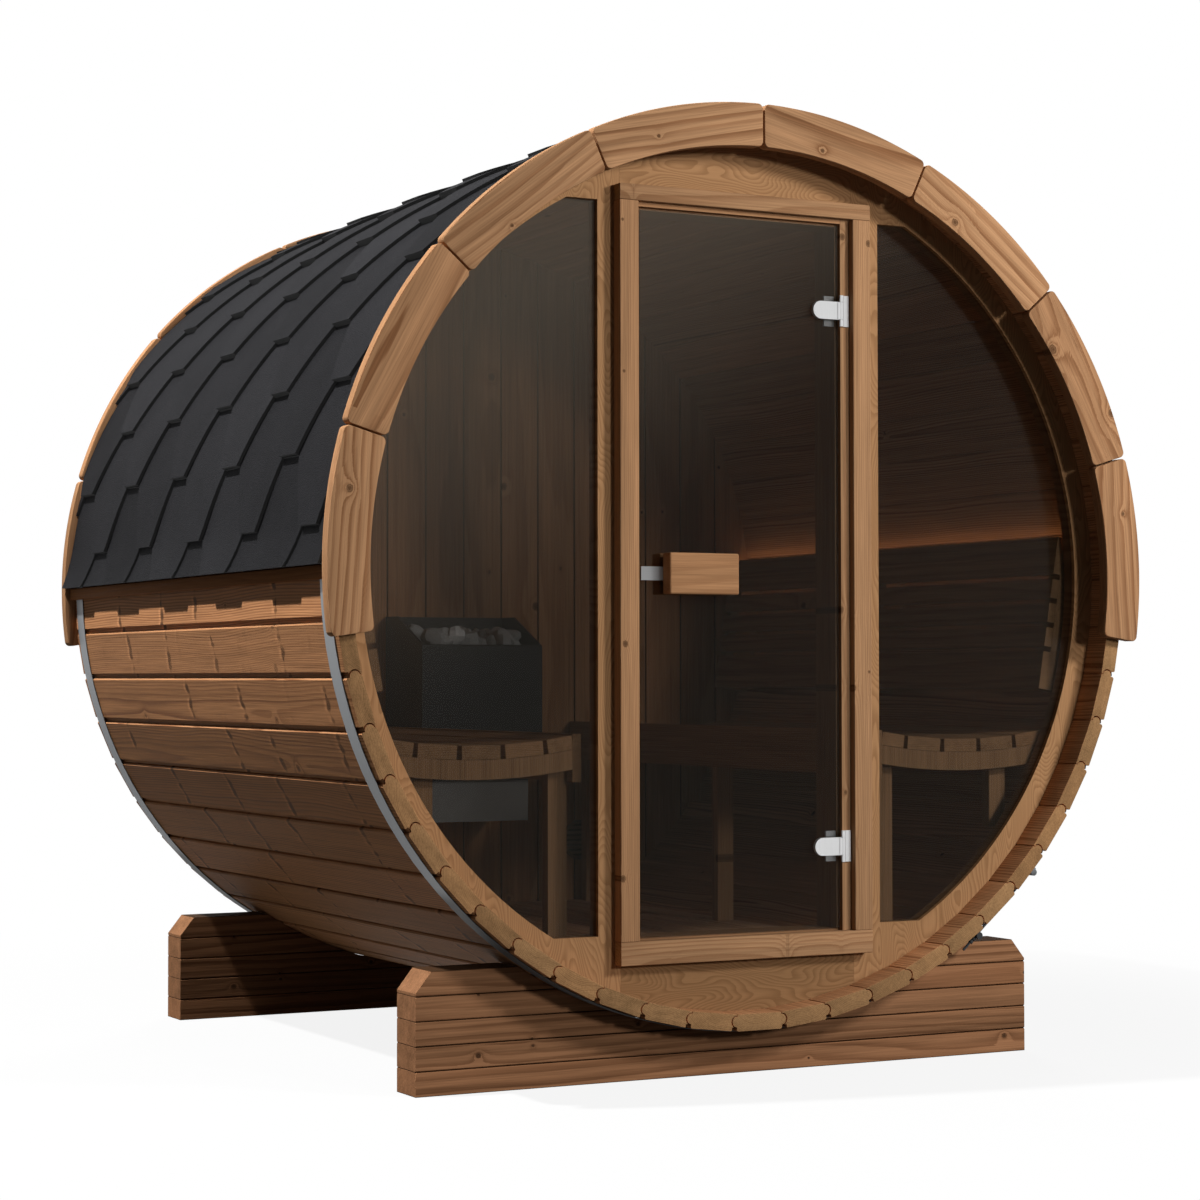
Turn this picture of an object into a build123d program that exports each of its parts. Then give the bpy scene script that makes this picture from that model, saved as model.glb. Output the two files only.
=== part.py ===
from build123d import *
import os
from math import atan2, cos, degrees, radians, sin, sqrt, tan

# A barrel sauna on two cradles: staves round a level axis along Y, a glass front at -Y, a board wall at +Y.
# Millimetres, +Z up, origin on the ground under the middle of the barrel.

# Barrel of staves
BARREL_RADIUS = 1000.0
BARREL_LENGTH = 1762.0
GROUND_CLEARANCE = 102.0
STAVE_COUNT = 54
STAVE_THICKNESS = 37.0
STAVE_BEAD_RADIUS = 13.5
STAVE_CHAMFER = 4.5
CROZE_DEPTH = 10.0
TOP_STAVES = 13
BOTTOM_STAVES = 13

# Clearances and cutters
FIT_GAP = 0.4
SWING_GAP = 5.0
PIN_CLEARANCE = 0.05
CUT_OVERRUN = 20.0

# Cradles of stacked boards, which reach up round the barrel and out beyond it
CRADLE_WRAP = 158.0
CRADLE_SHOULDER = 237.5
CRADLE_THICKNESS = 97.0
CRADLE_BOARDS = 5
CRADLE_INSET = 93.0
CRADLE_CORNER_WIDTH = 36.0
CRADLE_CORNER_HEIGHT = 45.0
BOARD_JOINT_V = 3.0

# Steel bands round the staves
BAND_WIDTH = 50.0
BAND_THICKNESS = 1.2
BAND_INSET = 20.0
BAND_OPEN_FROM = 132.0
BAND_OPEN_TO = 143.5
LUG_RADIUS = 8.0
LUG_STANDOFF = 22.0
LUG_LENGTH = 30.0
LUG_TAB_THICKNESS = 3.0
ROD_RADIUS = 3.0
ROD_TAIL = 34.0
NUT_SIDES = 6
NUT_RADIUS = 6.5
NUT_HEIGHT = 6.0

# Eaves battens and roof cover
BATTEN_HEIGHT = 29.0
BATTEN_DEPTH = 21.0
BATTEN_TOP = 1.0
COVER_THICKNESS = 6.0
COVER_SWEEP_ANGLE = 6.5
COVER_PROUD = 34.5

# Fascia boards on both ends
FASCIA_BOARDS = 8
FASCIA_PITCH = 24.6
FASCIA_PROUD = 26.0
FASCIA_WIDTH = 95.0
FASCIA_THICKNESS = 31.0
FASCIA_GAP = 4.0
FASCIA_CORNER_RADIUS = 12.0
FASCIA_EDGE = 2.5

# End walls
WALL_RECESS = 69.5
WALL_THICKNESS = 40.0
REAR_BOARD_WIDTH = 113.0
VENT_RADIUS = 55.0
VENT_ACROSS = 412.0
VENT_ABOVE_FLOOR = 165.0
VENT_RIM = 7.0
VENT_PROUD = 9.0
VENT_SLATS = 8
VENT_SLAT_HEIGHT = 7.0

# Windows in the front wall
WINDOW_MARGIN = 87.0
WINDOW_STILE = 39.0
WINDOW_SILL_RISE = 12.0
PANE_THICKNESS = 6.0
PANE_SETBACK = 10.0

# Door casing, with its margins to the outside of the barrel
CASING_HALF_WIDTH = 321.0
CASING_WIDTH = 46.5
CASING_TOP_MARGIN = 162.0
CASING_HEAD_HEIGHT = 35.0
CASING_FOOT_MARGIN = 152.0
CASING_FOOT_HEIGHT = 51.0
CASING_THICKNESS = 31.0

# Door jamb and leaf
JAMB_SETBACK = 17.0
JAMB_DEPTH = 100.0
JAMB_THICKNESS = 38.0
JAMB_STOP = 5.0
JAMB_LEFT_REVEAL = 7.0
JAMB_RIGHT_REVEAL = 24.0
JAMB_HEAD_REVEAL = 10.0
LEAF_THICKNESS = 8.0
LEAF_SETBACK = 2.5

# Door handle and latch strap
HANDLE_WIDTH = 173.0
HANDLE_HEIGHT = 90.0
HANDLE_DEPTH = 35.0
HANDLE_INSET = 52.5
HANDLE_DROP = 4.0
HANDLE_EDGE = 4.0
STRAP_HEIGHT = 30.0
STRAP_THICKNESS = 4.0
STRAP_TUCK = 60.0

# Hinges
HINGE_TOP_INSET = 193.0
HINGE_BOTTOM_INSET = 184.0
HINGE_AXIS_INSET = 1.0
HINGE_AXIS_PROUD = 6.5
HINGE_PIN_RADIUS = 3.0
KNUCKLE_RADIUS = 5.0
KNUCKLE_HALF_HEIGHT = 19.0
KNUCKLE_SLACK = 1.0
CLAMP_LENGTH = 74.0
CLAMP_HALF_HEIGHT = 20.0
CLAMP_THICKNESS = 9.0
CLAMP_PAD_WIDTH = 26.0
CLAMP_PAD_HALF_HEIGHT = 34.0
CLAMP_PAD_THICKNESS = 4.5
PLATE_WIDTH = 15.0
PLATE_HALF_HEIGHT = 35.0
PLATE_THICKNESS = 4.0

# Floor, above the staves
FLOOR_RISE = 116.4
FLOOR_BOARD_THICKNESS = 24.0
FLOOR_BOARD_WIDTH = 95.0
FLOOR_BOARD_GAP = 8.0
FLOOR_JOIST_WIDTH = 45.0
FLOOR_JOIST_COUNT = 3
ROOM_END_GAP = 6.0

# Benches, on one side of the aisle
SEAT_EDGE = 378.0
SEAT_HEIGHT = 494.0
SEAT_ARC_RADIUS = 1330.0
SEAT_ARC_INSET = 246.0
SEAT_DISH = 22.0
SLAT_THICKNESS = 30.0
SLAT_WIDTH = 90.0
SLAT_GAP = 11.0
FIRST_SLAT_WIDTH = 60.0
APRON_THICKNESS = 20.0
APRON_HEIGHT = 104.0
BEARER_DEPTH = 42.0
BEARER_THICKNESS = 28.0
BEARER_COUNT = 3
LEG_WIDTH = 45.0
BEARER_REAR_INSET = 30.0
BACK_LEG_INSET = 179.0
BACK_LEG_DROP = 200.0
LEG_OVERLAP = 30.0

# Backrests
BACKREST_RISE = 455.0
BACKREST_STANDOFF = 55.7
BACKREST_LEAN = 9.3
BACKREST_THICKNESS = 20.0
BACKREST_WIDE = 89.0
BACKREST_NARROW = 45.0
BACKREST_GAP = 13.0
BACKREST_NARROW_COUNT = 3
SUPPORT_WIDTH = 45.0
SUPPORT_DEPTH = 120.0
LIGHT_SIZE = 9.0
LIGHT_DROP = 6.0

# Heater on the rear wall
HEATER_HALF_WIDTH = 175.0
HEATER_DEPTH = 241.0
HEATER_ABOVE_FLOOR = 236.0
HEATER_BASE_HEIGHT = 109.0
HEATER_FRONT_HEIGHT = 355.0
HEATER_BACK_RISE = 79.0
HEATER_BASE_HALF_WIDTH = 140.0
HEATER_BASE_SETBACK = 15.0
HEATER_CREST = 76.0
HEATER_WALL = 6.0
HEATER_TRAY_DEPTH = 45.0
STONE_RADIUS = 34.0
STONE_ROWS = 3
STONE_COLUMNS = 4


def half_chord(radius, level):
    """Half the width of a circle at a level above or below its centre."""
    return sqrt(radius ** 2 - level ** 2)


# Worked-out places across the barrel, measured from its axis
AXIS_HEIGHT = BARREL_RADIUS + GROUND_CLEARANCE
STAVE_PITCH = 360 / STAVE_COUNT
STAVE_HALF = radians(STAVE_PITCH / 2)
STAVE_OUTER = BARREL_RADIUS * cos(STAVE_HALF)
STAVE_INNER = (BARREL_RADIUS - STAVE_THICKNESS) * cos(STAVE_HALF)
BAND_OUTER = BARREL_RADIUS + FIT_GAP + BAND_THICKNESS
CRADLE_HEIGHT = GROUND_CLEARANCE + CRADLE_WRAP
CRADLE_HALF_WIDTH = half_chord(BARREL_RADIUS, BARREL_RADIUS - CRADLE_WRAP) + CRADLE_SHOULDER
FASCIA_OUTER_RADIUS = BARREL_RADIUS + FASCIA_PROUD
FASCIA_INNER_RADIUS = FASCIA_OUTER_RADIUS - FASCIA_WIDTH
CASING_INNER_HALF_WIDTH = CASING_HALF_WIDTH - CASING_WIDTH
CASING_TOP = BARREL_RADIUS - CASING_TOP_MARGIN
CASING_INNER_TOP = CASING_TOP - CASING_HEAD_HEIGHT
CASING_BOTTOM = CASING_FOOT_MARGIN - BARREL_RADIUS
CASING_INNER_BOTTOM = CASING_BOTTOM + CASING_FOOT_HEIGHT
WINDOW_RADIUS = BARREL_RADIUS - WINDOW_MARGIN
WINDOW_INNER_EDGE = CASING_HALF_WIDTH + WINDOW_STILE
WINDOW_TOP = CASING_INNER_TOP
WINDOW_BOTTOM = CASING_INNER_BOTTOM + WINDOW_SILL_RISE
JAMB_LEFT_EDGE = JAMB_LEFT_REVEAL - CASING_INNER_HALF_WIDTH
JAMB_RIGHT_EDGE = CASING_INNER_HALF_WIDTH - JAMB_RIGHT_REVEAL
JAMB_HEAD_EDGE = CASING_INNER_TOP - JAMB_HEAD_REVEAL
LEAF_LEFT = JAMB_LEFT_EDGE + SWING_GAP
LEAF_RIGHT = JAMB_RIGHT_EDGE - SWING_GAP
LEAF_TOP = JAMB_HEAD_EDGE - SWING_GAP
LEAF_BOTTOM = CASING_INNER_BOTTOM + SWING_GAP
HANDLE_LEFT = LEAF_LEFT + HANDLE_INSET
HINGE_X = JAMB_RIGHT_EDGE - HINGE_AXIS_INSET
HINGE_TOP = LEAF_TOP - HINGE_TOP_INSET
HINGE_BOTTOM = LEAF_BOTTOM + HINGE_BOTTOM_INSET
FLOOR_TOP = FLOOR_RISE - STAVE_INNER
VENT_LEVEL = FLOOR_TOP + VENT_ABOVE_FLOOR
SEAT_TOP = FLOOR_TOP + SEAT_HEIGHT
SEAT_WALL = half_chord(STAVE_INNER, SEAT_TOP)
SEAT_ARC_MIDDLE = SEAT_EDGE + SEAT_ARC_INSET
SEAT_ARC_LOW = SEAT_TOP - SEAT_DISH
BACK_LEG_EDGE = SEAT_WALL - BACK_LEG_INSET
BACKREST_TOP = SEAT_TOP + BACKREST_RISE
BACKREST_EDGE_TOP = half_chord(STAVE_INNER, BACKREST_TOP) - BACKREST_STANDOFF
HEATER_BASE_BOTTOM = FLOOR_TOP + HEATER_ABOVE_FLOOR
HEATER_CASE_BOTTOM = HEATER_BASE_BOTTOM + HEATER_BASE_HEIGHT
HEATER_FRONT_TOP = HEATER_CASE_BOTTOM + HEATER_FRONT_HEIGHT
HEATER_BACK_TOP = HEATER_FRONT_TOP + HEATER_BACK_RISE

# Worked-out places along the barrel
FRONT = -BARREL_LENGTH / 2
REAR = BARREL_LENGTH / 2
FRONT_WALL_Y = FRONT + WALL_RECESS
FRONT_ROOM_Y = FRONT_WALL_Y + WALL_THICKNESS
REAR_WALL_Y = REAR - WALL_RECESS
REAR_ROOM_Y = REAR_WALL_Y - WALL_THICKNESS
ROOM_FRONT = FRONT_ROOM_Y + ROOM_END_GAP
ROOM_REAR = REAR_ROOM_Y - ROOM_END_GAP
CASING_Y = FRONT_WALL_Y - CASING_THICKNESS
JAMB_Y = CASING_Y + JAMB_SETBACK
JAMB_BACK = JAMB_Y + JAMB_DEPTH
LEAF_Y = JAMB_Y + LEAF_SETBACK
LEAF_BACK = LEAF_Y + LEAF_THICKNESS
STOP_Y = LEAF_BACK + SWING_GAP + FIT_GAP
HINGE_Y = JAMB_Y - HINGE_AXIS_PROUD


def along_barrel(outline, front, back):
    """Carry an outline drawn across the barrel, about its axis, from front to back."""
    return Pos(0, back, AXIS_HEIGHT) * Rot(X=90) * extrude(outline, amount=back - front, dir=(0, 0, 1))


def slab(left, right, front, back, low, high):
    """A plain block between six places, its heights measured from the barrel axis."""
    block = Box(right - left, back - front, high - low, align=(Align.MIN, Align.MIN, Align.MIN))
    return Pos(left, front, AXIS_HEIGHT + low) * block


def upright(outline, low, high):
    """Carry an outline drawn in plan from low to high, measured from the barrel axis."""
    return Pos(0, 0, AXIS_HEIGHT + low) * extrude(outline, amount=high - low, dir=(0, 0, 1))


def turned(shape, angle):
    """Turn a shape about the barrel axis, clockwise as seen from the front."""
    return Pos(0, 0, AXIS_HEIGHT) * Rot(Y=angle) * Pos(0, 0, -AXIS_HEIGHT) * shape


def mirrored(shape):
    """The same shape on the other side of the barrel."""
    return mirror(shape, about=Plane.YZ)


def solids_of(*shapes):
    """All the solids of some shapes, as one list."""
    return [solid for shape in shapes for solid in shape.solids()]


def save(name, *shapes):
    """Write one node to its own file."""
    solids = solids_of(*shapes)
    node = solids[0] if len(solids) == 1 else Compound(solids)
    export_step(node, os.path.join("parts", name + ".step"))


def stave_outline(apothem):
    """The outline that the flat inner faces of the staves make, at a given distance from the axis."""
    ring = RegularPolygon(apothem, STAVE_COUNT, major_radius=False)
    return Rot(Z=90 + STAVE_PITCH / 2) * ring


def room(front, back):
    """The space inside the staves, a fit gap clear of them."""
    return along_barrel(stave_outline(STAVE_INNER - FIT_GAP), front, back)


def stave(bead_left, bead_right):
    """One stave at the top of the barrel, with a bead or a cove on each edge and a croze at each end."""
    def side(radius):
        return radius * tan(STAVE_HALF) - FIT_GAP / 2

    shoulder = STAVE_OUTER - STAVE_CHAMFER
    top = side(STAVE_OUTER) - STAVE_CHAMFER
    right_half = [(side(STAVE_INNER), STAVE_INNER), (side(shoulder), shoulder), (top, STAVE_OUTER)]
    left_half = [(-x, z) for x, z in reversed(right_half)]
    outline = Polygon(*right_half, *left_half, align=None)
    middle = (STAVE_INNER + shoulder) / 2
    for sign, bead in ((-1, bead_left), (1, bead_right)):
        joint = sign * middle * tan(STAVE_HALF)
        if bead:
            outline += Pos(joint, middle) * Circle(STAVE_BEAD_RADIUS - FIT_GAP / 2)
        else:
            outline -= Pos(joint, middle) * Circle(STAVE_BEAD_RADIUS + FIT_GAP / 2)
    board = along_barrel(outline, FRONT, REAR)
    reach = side(STAVE_OUTER) + STAVE_BEAD_RADIUS
    for near, far in ((FRONT_WALL_Y, FRONT_ROOM_Y), (REAR_ROOM_Y, REAR_WALL_Y)):
        groove_low = STAVE_INNER - CUT_OVERRUN
        groove_high = STAVE_INNER + CROZE_DEPTH
        board -= slab(-reach, reach, near - FIT_GAP, far + FIT_GAP, groove_low, groove_high)
    return board


def staves():
    """All staves in four groups: beads point up both sides, from a twin-bead stave at the bottom."""
    lowest = STAVE_COUNT // 2
    kinds = {"top": stave(False, False), "bottom": stave(True, True)}
    kinds["right"] = stave(True, False)
    kinds["left"] = stave(False, True)
    groups = {"roof_staves": [], "right_staves": [], "floor_staves": [], "left_staves": []}
    for index in range(STAVE_COUNT):
        side = "right" if index < lowest else "left"
        kind = {0: "top", lowest: "bottom"}.get(index, side)
        group = side + "_staves"
        if min(index, STAVE_COUNT - index) <= TOP_STAVES // 2:
            group = "roof_staves"
        elif abs(index - lowest) <= BOTTOM_STAVES // 2:
            group = "floor_staves"
        groups[group].append(turned(kinds[kind], index * STAVE_PITCH))
    return groups


def cradle(front):
    """One cradle of stacked boards with V joints, hollowed to the barrel."""
    corner = CRADLE_HALF_WIDTH - CRADLE_CORNER_WIDTH
    shoulder = CRADLE_HEIGHT - CRADLE_CORNER_HEIGHT
    right_half = [(CRADLE_HALF_WIDTH, 0), (CRADLE_HALF_WIDTH, shoulder), (corner, CRADLE_HEIGHT)]
    left_half = [(-x, z) for x, z in reversed(right_half)]
    outline = Pos(0, -AXIS_HEIGHT) * Polygon(*right_half, *left_half, align=None)
    outline -= Circle(BARREL_RADIUS + FIT_GAP)
    back = front + CRADLE_THICKNESS
    boards = along_barrel(outline, front, back)
    span = CRADLE_HALF_WIDTH + CUT_OVERRUN
    for index in range(1, CRADLE_BOARDS):
        level = index * CRADLE_HEIGHT / CRADLE_BOARDS - AXIS_HEIGHT
        boards -= slab(-span, span, front - CUT_OVERRUN, back + CUT_OVERRUN,
                       level - FIT_GAP / 2, level + FIT_GAP / 2)
        for face in (front, back):
            boards -= v_groove_level(face, level, span)
    return boards


def v_groove_level(face, level, span):
    """A level V cutter along X on a face across Y."""
    size = BOARD_JOINT_V * sqrt(2)
    return Pos(0, face, AXIS_HEIGHT + level) * Rot(X=45) * Box(2 * span, size, size)


def v_groove_upright(face, across, span):
    """An upright V cutter on a face across Y."""
    size = BOARD_JOINT_V * sqrt(2)
    return Pos(across, face, AXIS_HEIGHT) * Rot(Z=45) * Box(size, size, 2 * span)


def band(front):
    """One steel band: a strap round the staves, open low on the right, with lugs, a rod and nuts."""
    back = front + BAND_WIDTH
    middle = front + BAND_WIDTH / 2
    reach = 2 * BARREL_RADIUS
    from_angle, to_angle = radians(BAND_OPEN_FROM), radians(BAND_OPEN_TO)
    wedge = Polygon((0, 0), (reach * sin(from_angle), reach * cos(from_angle)),
                    (reach * sin(to_angle), reach * cos(to_angle)), align=None)
    strap = Circle(BAND_OUTER) - Circle(BARREL_RADIUS + FIT_GAP) - wedge
    body = along_barrel(strap, front, back)
    lug_radius = BARREL_RADIUS + LUG_STANDOFF
    tab_half = degrees(LUG_TAB_THICKNESS / BARREL_RADIUS) / 2
    ends = []
    for angle in (BAND_OPEN_FROM - tab_half, BAND_OPEN_TO + tab_half):
        turn = radians(angle)
        ends.append(Vector(lug_radius * sin(turn), middle, AXIS_HEIGHT + lug_radius * cos(turn)))
        tab_low = BARREL_RADIUS + FIT_GAP
        tab = slab(-LUG_TAB_THICKNESS / 2, LUG_TAB_THICKNESS / 2, middle - LUG_LENGTH / 2,
                   middle + LUG_LENGTH / 2, tab_low, lug_radius)
        body += turned(tab, angle)
        lug = Pos(0, middle, AXIS_HEIGHT + lug_radius) * Rot(X=90) * Cylinder(LUG_RADIUS, LUG_LENGTH)
        body += turned(lug, angle)
    along = (ends[1] - ends[0]).normalized()
    head = ends[0] - along * (LUG_RADIUS + NUT_HEIGHT)
    length = (ends[1] - ends[0]).length + 2 * (LUG_RADIUS + NUT_HEIGHT) + ROD_TAIL
    line = Plane(origin=head, z_dir=along)
    bottom = (Align.CENTER, Align.CENTER, Align.MIN)
    body -= line * Cylinder(ROD_RADIUS + FIT_GAP, length, align=bottom)
    rod = line * Cylinder(ROD_RADIUS, length, align=bottom)
    far_nut = (ends[1] - head).length + LUG_RADIUS + FIT_GAP
    for start in (-FIT_GAP, far_nut, far_nut + NUT_HEIGHT + ROD_RADIUS):
        nut = extrude(RegularPolygon(NUT_RADIUS, NUT_SIDES), amount=NUT_HEIGHT)
        rod += line * Pos(0, 0, start) * nut
    return body, rod


def eaves_batten():
    """The right-hand batten that ends the roof cover, on the widest line of the staves."""
    outline = Pos(BARREL_RADIUS, BATTEN_TOP) * Rectangle(
        2 * BATTEN_DEPTH, BATTEN_HEIGHT, align=(Align.CENTER, Align.MAX))
    outline -= Circle(BAND_OUTER + FIT_GAP)
    return along_barrel(outline, FRONT + FIT_GAP, REAR - FIT_GAP)


def roof_cover():
    """The thin cover over the upper half of the staves, swept out over the batten along each eaves."""
    inner = BAND_OUTER + FIT_GAP
    eaves = BATTEN_TOP + FIT_GAP
    start = radians(90 - COVER_SWEEP_ANGLE)
    edges = []
    for lift in (0, COVER_THICKNESS):
        radius = inner + lift
        reach = BARREL_RADIUS + COVER_PROUD - COVER_THICKNESS + lift
        foot = (radius * sin(start), radius * cos(start))
        edges.append(ThreePointArc((-foot[0], foot[1]), (0, radius), foot))
        for side in (-1, 1):
            edges.append(TangentArc((side * foot[0], foot[1]), (side * reach, eaves),
                                    tangent=(side * cos(start), -sin(start))))
    outer = BARREL_RADIUS + COVER_PROUD
    for side in (-1, 1):
        edges.append(Line((side * outer, eaves), (side * (outer - COVER_THICKNESS), eaves)))
    return along_barrel(make_face(edges), FRONT + FIT_GAP, REAR - FIT_GAP)


def fascia(near, far):
    """The eight curved fascia boards of one end, with a seam at the top."""
    half = radians(FASCIA_PITCH / 2)
    reach = 2 * FASCIA_OUTER_RADIUS
    apex = FASCIA_GAP / 2 / sin(half)
    wedge = Polygon((0, apex), (reach * sin(half), apex + reach * cos(half)),
                    (-reach * sin(half), apex + reach * cos(half)), align=None)
    outline = (Circle(FASCIA_OUTER_RADIUS) - Circle(FASCIA_INNER_RADIUS)) & wedge
    outline = fillet(outline.vertices(), FASCIA_CORNER_RADIUS)
    board = along_barrel(outline, near, far)
    outer_face = board.faces().sort_by(Axis.Y)[0 if far < 0 else -1]
    board = chamfer(outer_face.edges(), FASCIA_EDGE)
    first = -(FASCIA_BOARDS - 1) / 2
    return [turned(board, (first + index) * FASCIA_PITCH) for index in range(FASCIA_BOARDS)]


def window_outline(inset):
    """The right-hand D window, drawn in by an inset on every edge."""
    width = WINDOW_RADIUS - WINDOW_INNER_EDGE
    height = WINDOW_TOP - WINDOW_BOTTOM - 2 * inset
    frame = Pos(WINDOW_INNER_EDGE + inset, WINDOW_BOTTOM + inset) * Rectangle(
        width, height, align=(Align.MIN, Align.MIN))
    return frame & Circle(WINDOW_RADIUS - inset)


def front_wall():
    """The four pieces of the front wall, with the window openings cut through."""
    disc = stave_outline(STAVE_INNER + CROZE_DEPTH - FIT_GAP)
    left_cut = JAMB_LEFT_EDGE - JAMB_THICKNESS - FIT_GAP
    right_cut = JAMB_RIGHT_EDGE + JAMB_THICKNESS + FIT_GAP
    head_cut = JAMB_HEAD_EDGE + JAMB_THICKNESS + FIT_GAP
    foot_cut = CASING_INNER_BOTTOM - JAMB_THICKNESS - FIT_GAP
    reach = 2 * BARREL_RADIUS
    right_side = Pos(right_cut, 0) * Rectangle(reach, reach, align=(Align.MIN, Align.CENTER))
    left_side = Pos(left_cut, 0) * Rectangle(reach, reach, align=(Align.MAX, Align.CENTER))
    middle = Pos((left_cut + right_cut) / 2, 0) * Rectangle(right_cut - left_cut - 2 * FIT_GAP, reach)
    above = Pos(0, head_cut) * Rectangle(reach, reach, align=(Align.CENTER, Align.MIN))
    below = Pos(0, foot_cut) * Rectangle(reach, reach, align=(Align.CENTER, Align.MAX))
    window = window_outline(0)
    outlines = {
        "front_wall_left": (disc & left_side) - mirror(window, about=Plane.YZ),
        "front_wall_right": (disc & right_side) - window,
        "front_wall_header": disc & middle & above,
        "front_wall_sill": disc & middle & below,
    }
    return {name: along_barrel(shape, FRONT_WALL_Y, FRONT_ROOM_Y) for name, shape in outlines.items()}


def window_pane():
    """The right-hand window pane, set back in its opening."""
    front = FRONT_WALL_Y + PANE_SETBACK
    return along_barrel(window_outline(FIT_GAP), front, front + PANE_THICKNESS)


def door_casing():
    """The four casing boards round the door: the head and the foot run full width."""
    back = FRONT_WALL_Y - FIT_GAP
    across = CASING_HALF_WIDTH
    post = slab(CASING_INNER_HALF_WIDTH, across, CASING_Y, back, CASING_INNER_BOTTOM + FIT_GAP,
                CASING_INNER_TOP - FIT_GAP)
    return {
        "door_casing_left": mirrored(post),
        "door_casing_right": post,
        "door_casing_head": slab(-across, across, CASING_Y, back, CASING_INNER_TOP, CASING_TOP),
        "door_casing_foot": slab(-across, across, CASING_Y, back, CASING_BOTTOM, CASING_INNER_BOTTOM),
    }


def jamb_post(edge, tongue, sign):
    """One side of the jamb: a tongue beside the casing, a body in the wall and a stop behind the leaf."""
    outer = edge + sign * JAMB_THICKNESS
    lip = edge - sign * JAMB_STOP
    body = Polygon((edge, FRONT_WALL_Y), (outer, FRONT_WALL_Y), (outer, JAMB_BACK), (lip, JAMB_BACK),
                   (lip, STOP_Y), (edge, STOP_Y), align=None)
    strip = Polygon((edge, JAMB_Y), (tongue, JAMB_Y), (tongue, FRONT_WALL_Y), (edge, FRONT_WALL_Y),
                    align=None)
    post = upright(body, CASING_INNER_BOTTOM - JAMB_THICKNESS, JAMB_HEAD_EDGE + JAMB_THICKNESS)
    return post + upright(strip, CASING_INNER_BOTTOM + FIT_GAP, CASING_INNER_TOP - FIT_GAP)


def door_jamb():
    """The jamb: two posts between which the head and the sill fit."""
    tongue = CASING_INNER_HALF_WIDTH - FIT_GAP
    left_post = jamb_post(JAMB_LEFT_EDGE, -tongue, -1)
    right_post = jamb_post(JAMB_RIGHT_EDGE, tongue, 1)
    left = JAMB_LEFT_EDGE + FIT_GAP
    right = JAMB_RIGHT_EDGE - FIT_GAP
    lip_left = left + JAMB_STOP
    lip_right = right - JAMB_STOP
    head_high = JAMB_HEAD_EDGE + JAMB_THICKNESS
    head = slab(left, right, JAMB_Y, FRONT_WALL_Y, JAMB_HEAD_EDGE, CASING_INNER_TOP - FIT_GAP)
    head += slab(left, right, FRONT_WALL_Y, STOP_Y, JAMB_HEAD_EDGE, head_high)
    head += slab(lip_left, lip_right, STOP_Y, JAMB_BACK, JAMB_HEAD_EDGE - JAMB_STOP, head_high)
    sill_low = CASING_INNER_BOTTOM - JAMB_THICKNESS
    sill = slab(left, right, FRONT_WALL_Y, STOP_Y, sill_low, CASING_INNER_BOTTOM)
    sill += slab(lip_left, lip_right, STOP_Y, JAMB_BACK, sill_low, CASING_INNER_BOTTOM + JAMB_STOP)
    return {"door_jamb_left": left_post, "door_jamb_right": right_post,
            "door_jamb_head": head, "door_jamb_sill": sill}


def door_handle():
    """The wooden handle blocks outside and inside the leaf, and the steel strap under the outer one."""
    right = HANDLE_LEFT + HANDLE_WIDTH
    low = -HANDLE_HEIGHT / 2 - HANDLE_DROP
    strap_front = LEAF_Y - FIT_GAP - STRAP_THICKNESS
    outer_back = strap_front - FIT_GAP
    outer = slab(HANDLE_LEFT, right, outer_back - HANDLE_DEPTH, outer_back, low, low + HANDLE_HEIGHT)
    inner_front = LEAF_BACK + FIT_GAP
    inner = slab(HANDLE_LEFT, right, inner_front, inner_front + HANDLE_DEPTH, low, low + HANDLE_HEIGHT)
    blocks = [fillet(block.edges(), HANDLE_EDGE) for block in (outer, inner)]
    strap_low = -STRAP_HEIGHT / 2 - HANDLE_DROP
    strap = slab(LEAF_LEFT, right - STRAP_TUCK, strap_front, LEAF_Y - FIT_GAP, strap_low,
                 strap_low + STRAP_HEIGHT)
    return blocks, strap


def hinge_clamp(level):
    """The leaf's half of a hinge: a round-ended clamp with a knuckle, and a pad behind the glass."""
    back = LEAF_Y - FIT_GAP
    front = back - CLAMP_THICKNESS
    knuckle_left = HINGE_X - KNUCKLE_RADIUS
    round_end = HINGE_X - CLAMP_LENGTH + CLAMP_HALF_HEIGHT
    outline = Pos(round_end, level) * Circle(CLAMP_HALF_HEIGHT)
    outline += Pos(round_end, level) * Rectangle(
        knuckle_left - round_end, 2 * CLAMP_HALF_HEIGHT, align=(Align.MIN, Align.CENTER))
    clamp = along_barrel(outline, front, back)
    web = slab(knuckle_left - KNUCKLE_RADIUS, HINGE_X, HINGE_Y - KNUCKLE_RADIUS / 2,
               HINGE_Y + KNUCKLE_RADIUS / 2, level - KNUCKLE_HALF_HEIGHT, level + KNUCKLE_HALF_HEIGHT)
    knuckle = upright(Pos(HINGE_X, HINGE_Y) * Circle(KNUCKLE_RADIUS),
                      level - KNUCKLE_HALF_HEIGHT, level + KNUCKLE_HALF_HEIGHT)
    bore = upright(Pos(HINGE_X, HINGE_Y) * Circle(HINGE_PIN_RADIUS + PIN_CLEARANCE),
                   level - CLAMP_LENGTH, level + CLAMP_LENGTH)
    pad_right = LEAF_RIGHT - SWING_GAP
    pad = slab(pad_right - CLAMP_PAD_WIDTH, pad_right, LEAF_BACK + FIT_GAP,
               LEAF_BACK + FIT_GAP + CLAMP_PAD_THICKNESS, level - CLAMP_PAD_HALF_HEIGHT,
               level + CLAMP_PAD_HALF_HEIGHT)
    return clamp + web + knuckle - bore, pad


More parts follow.
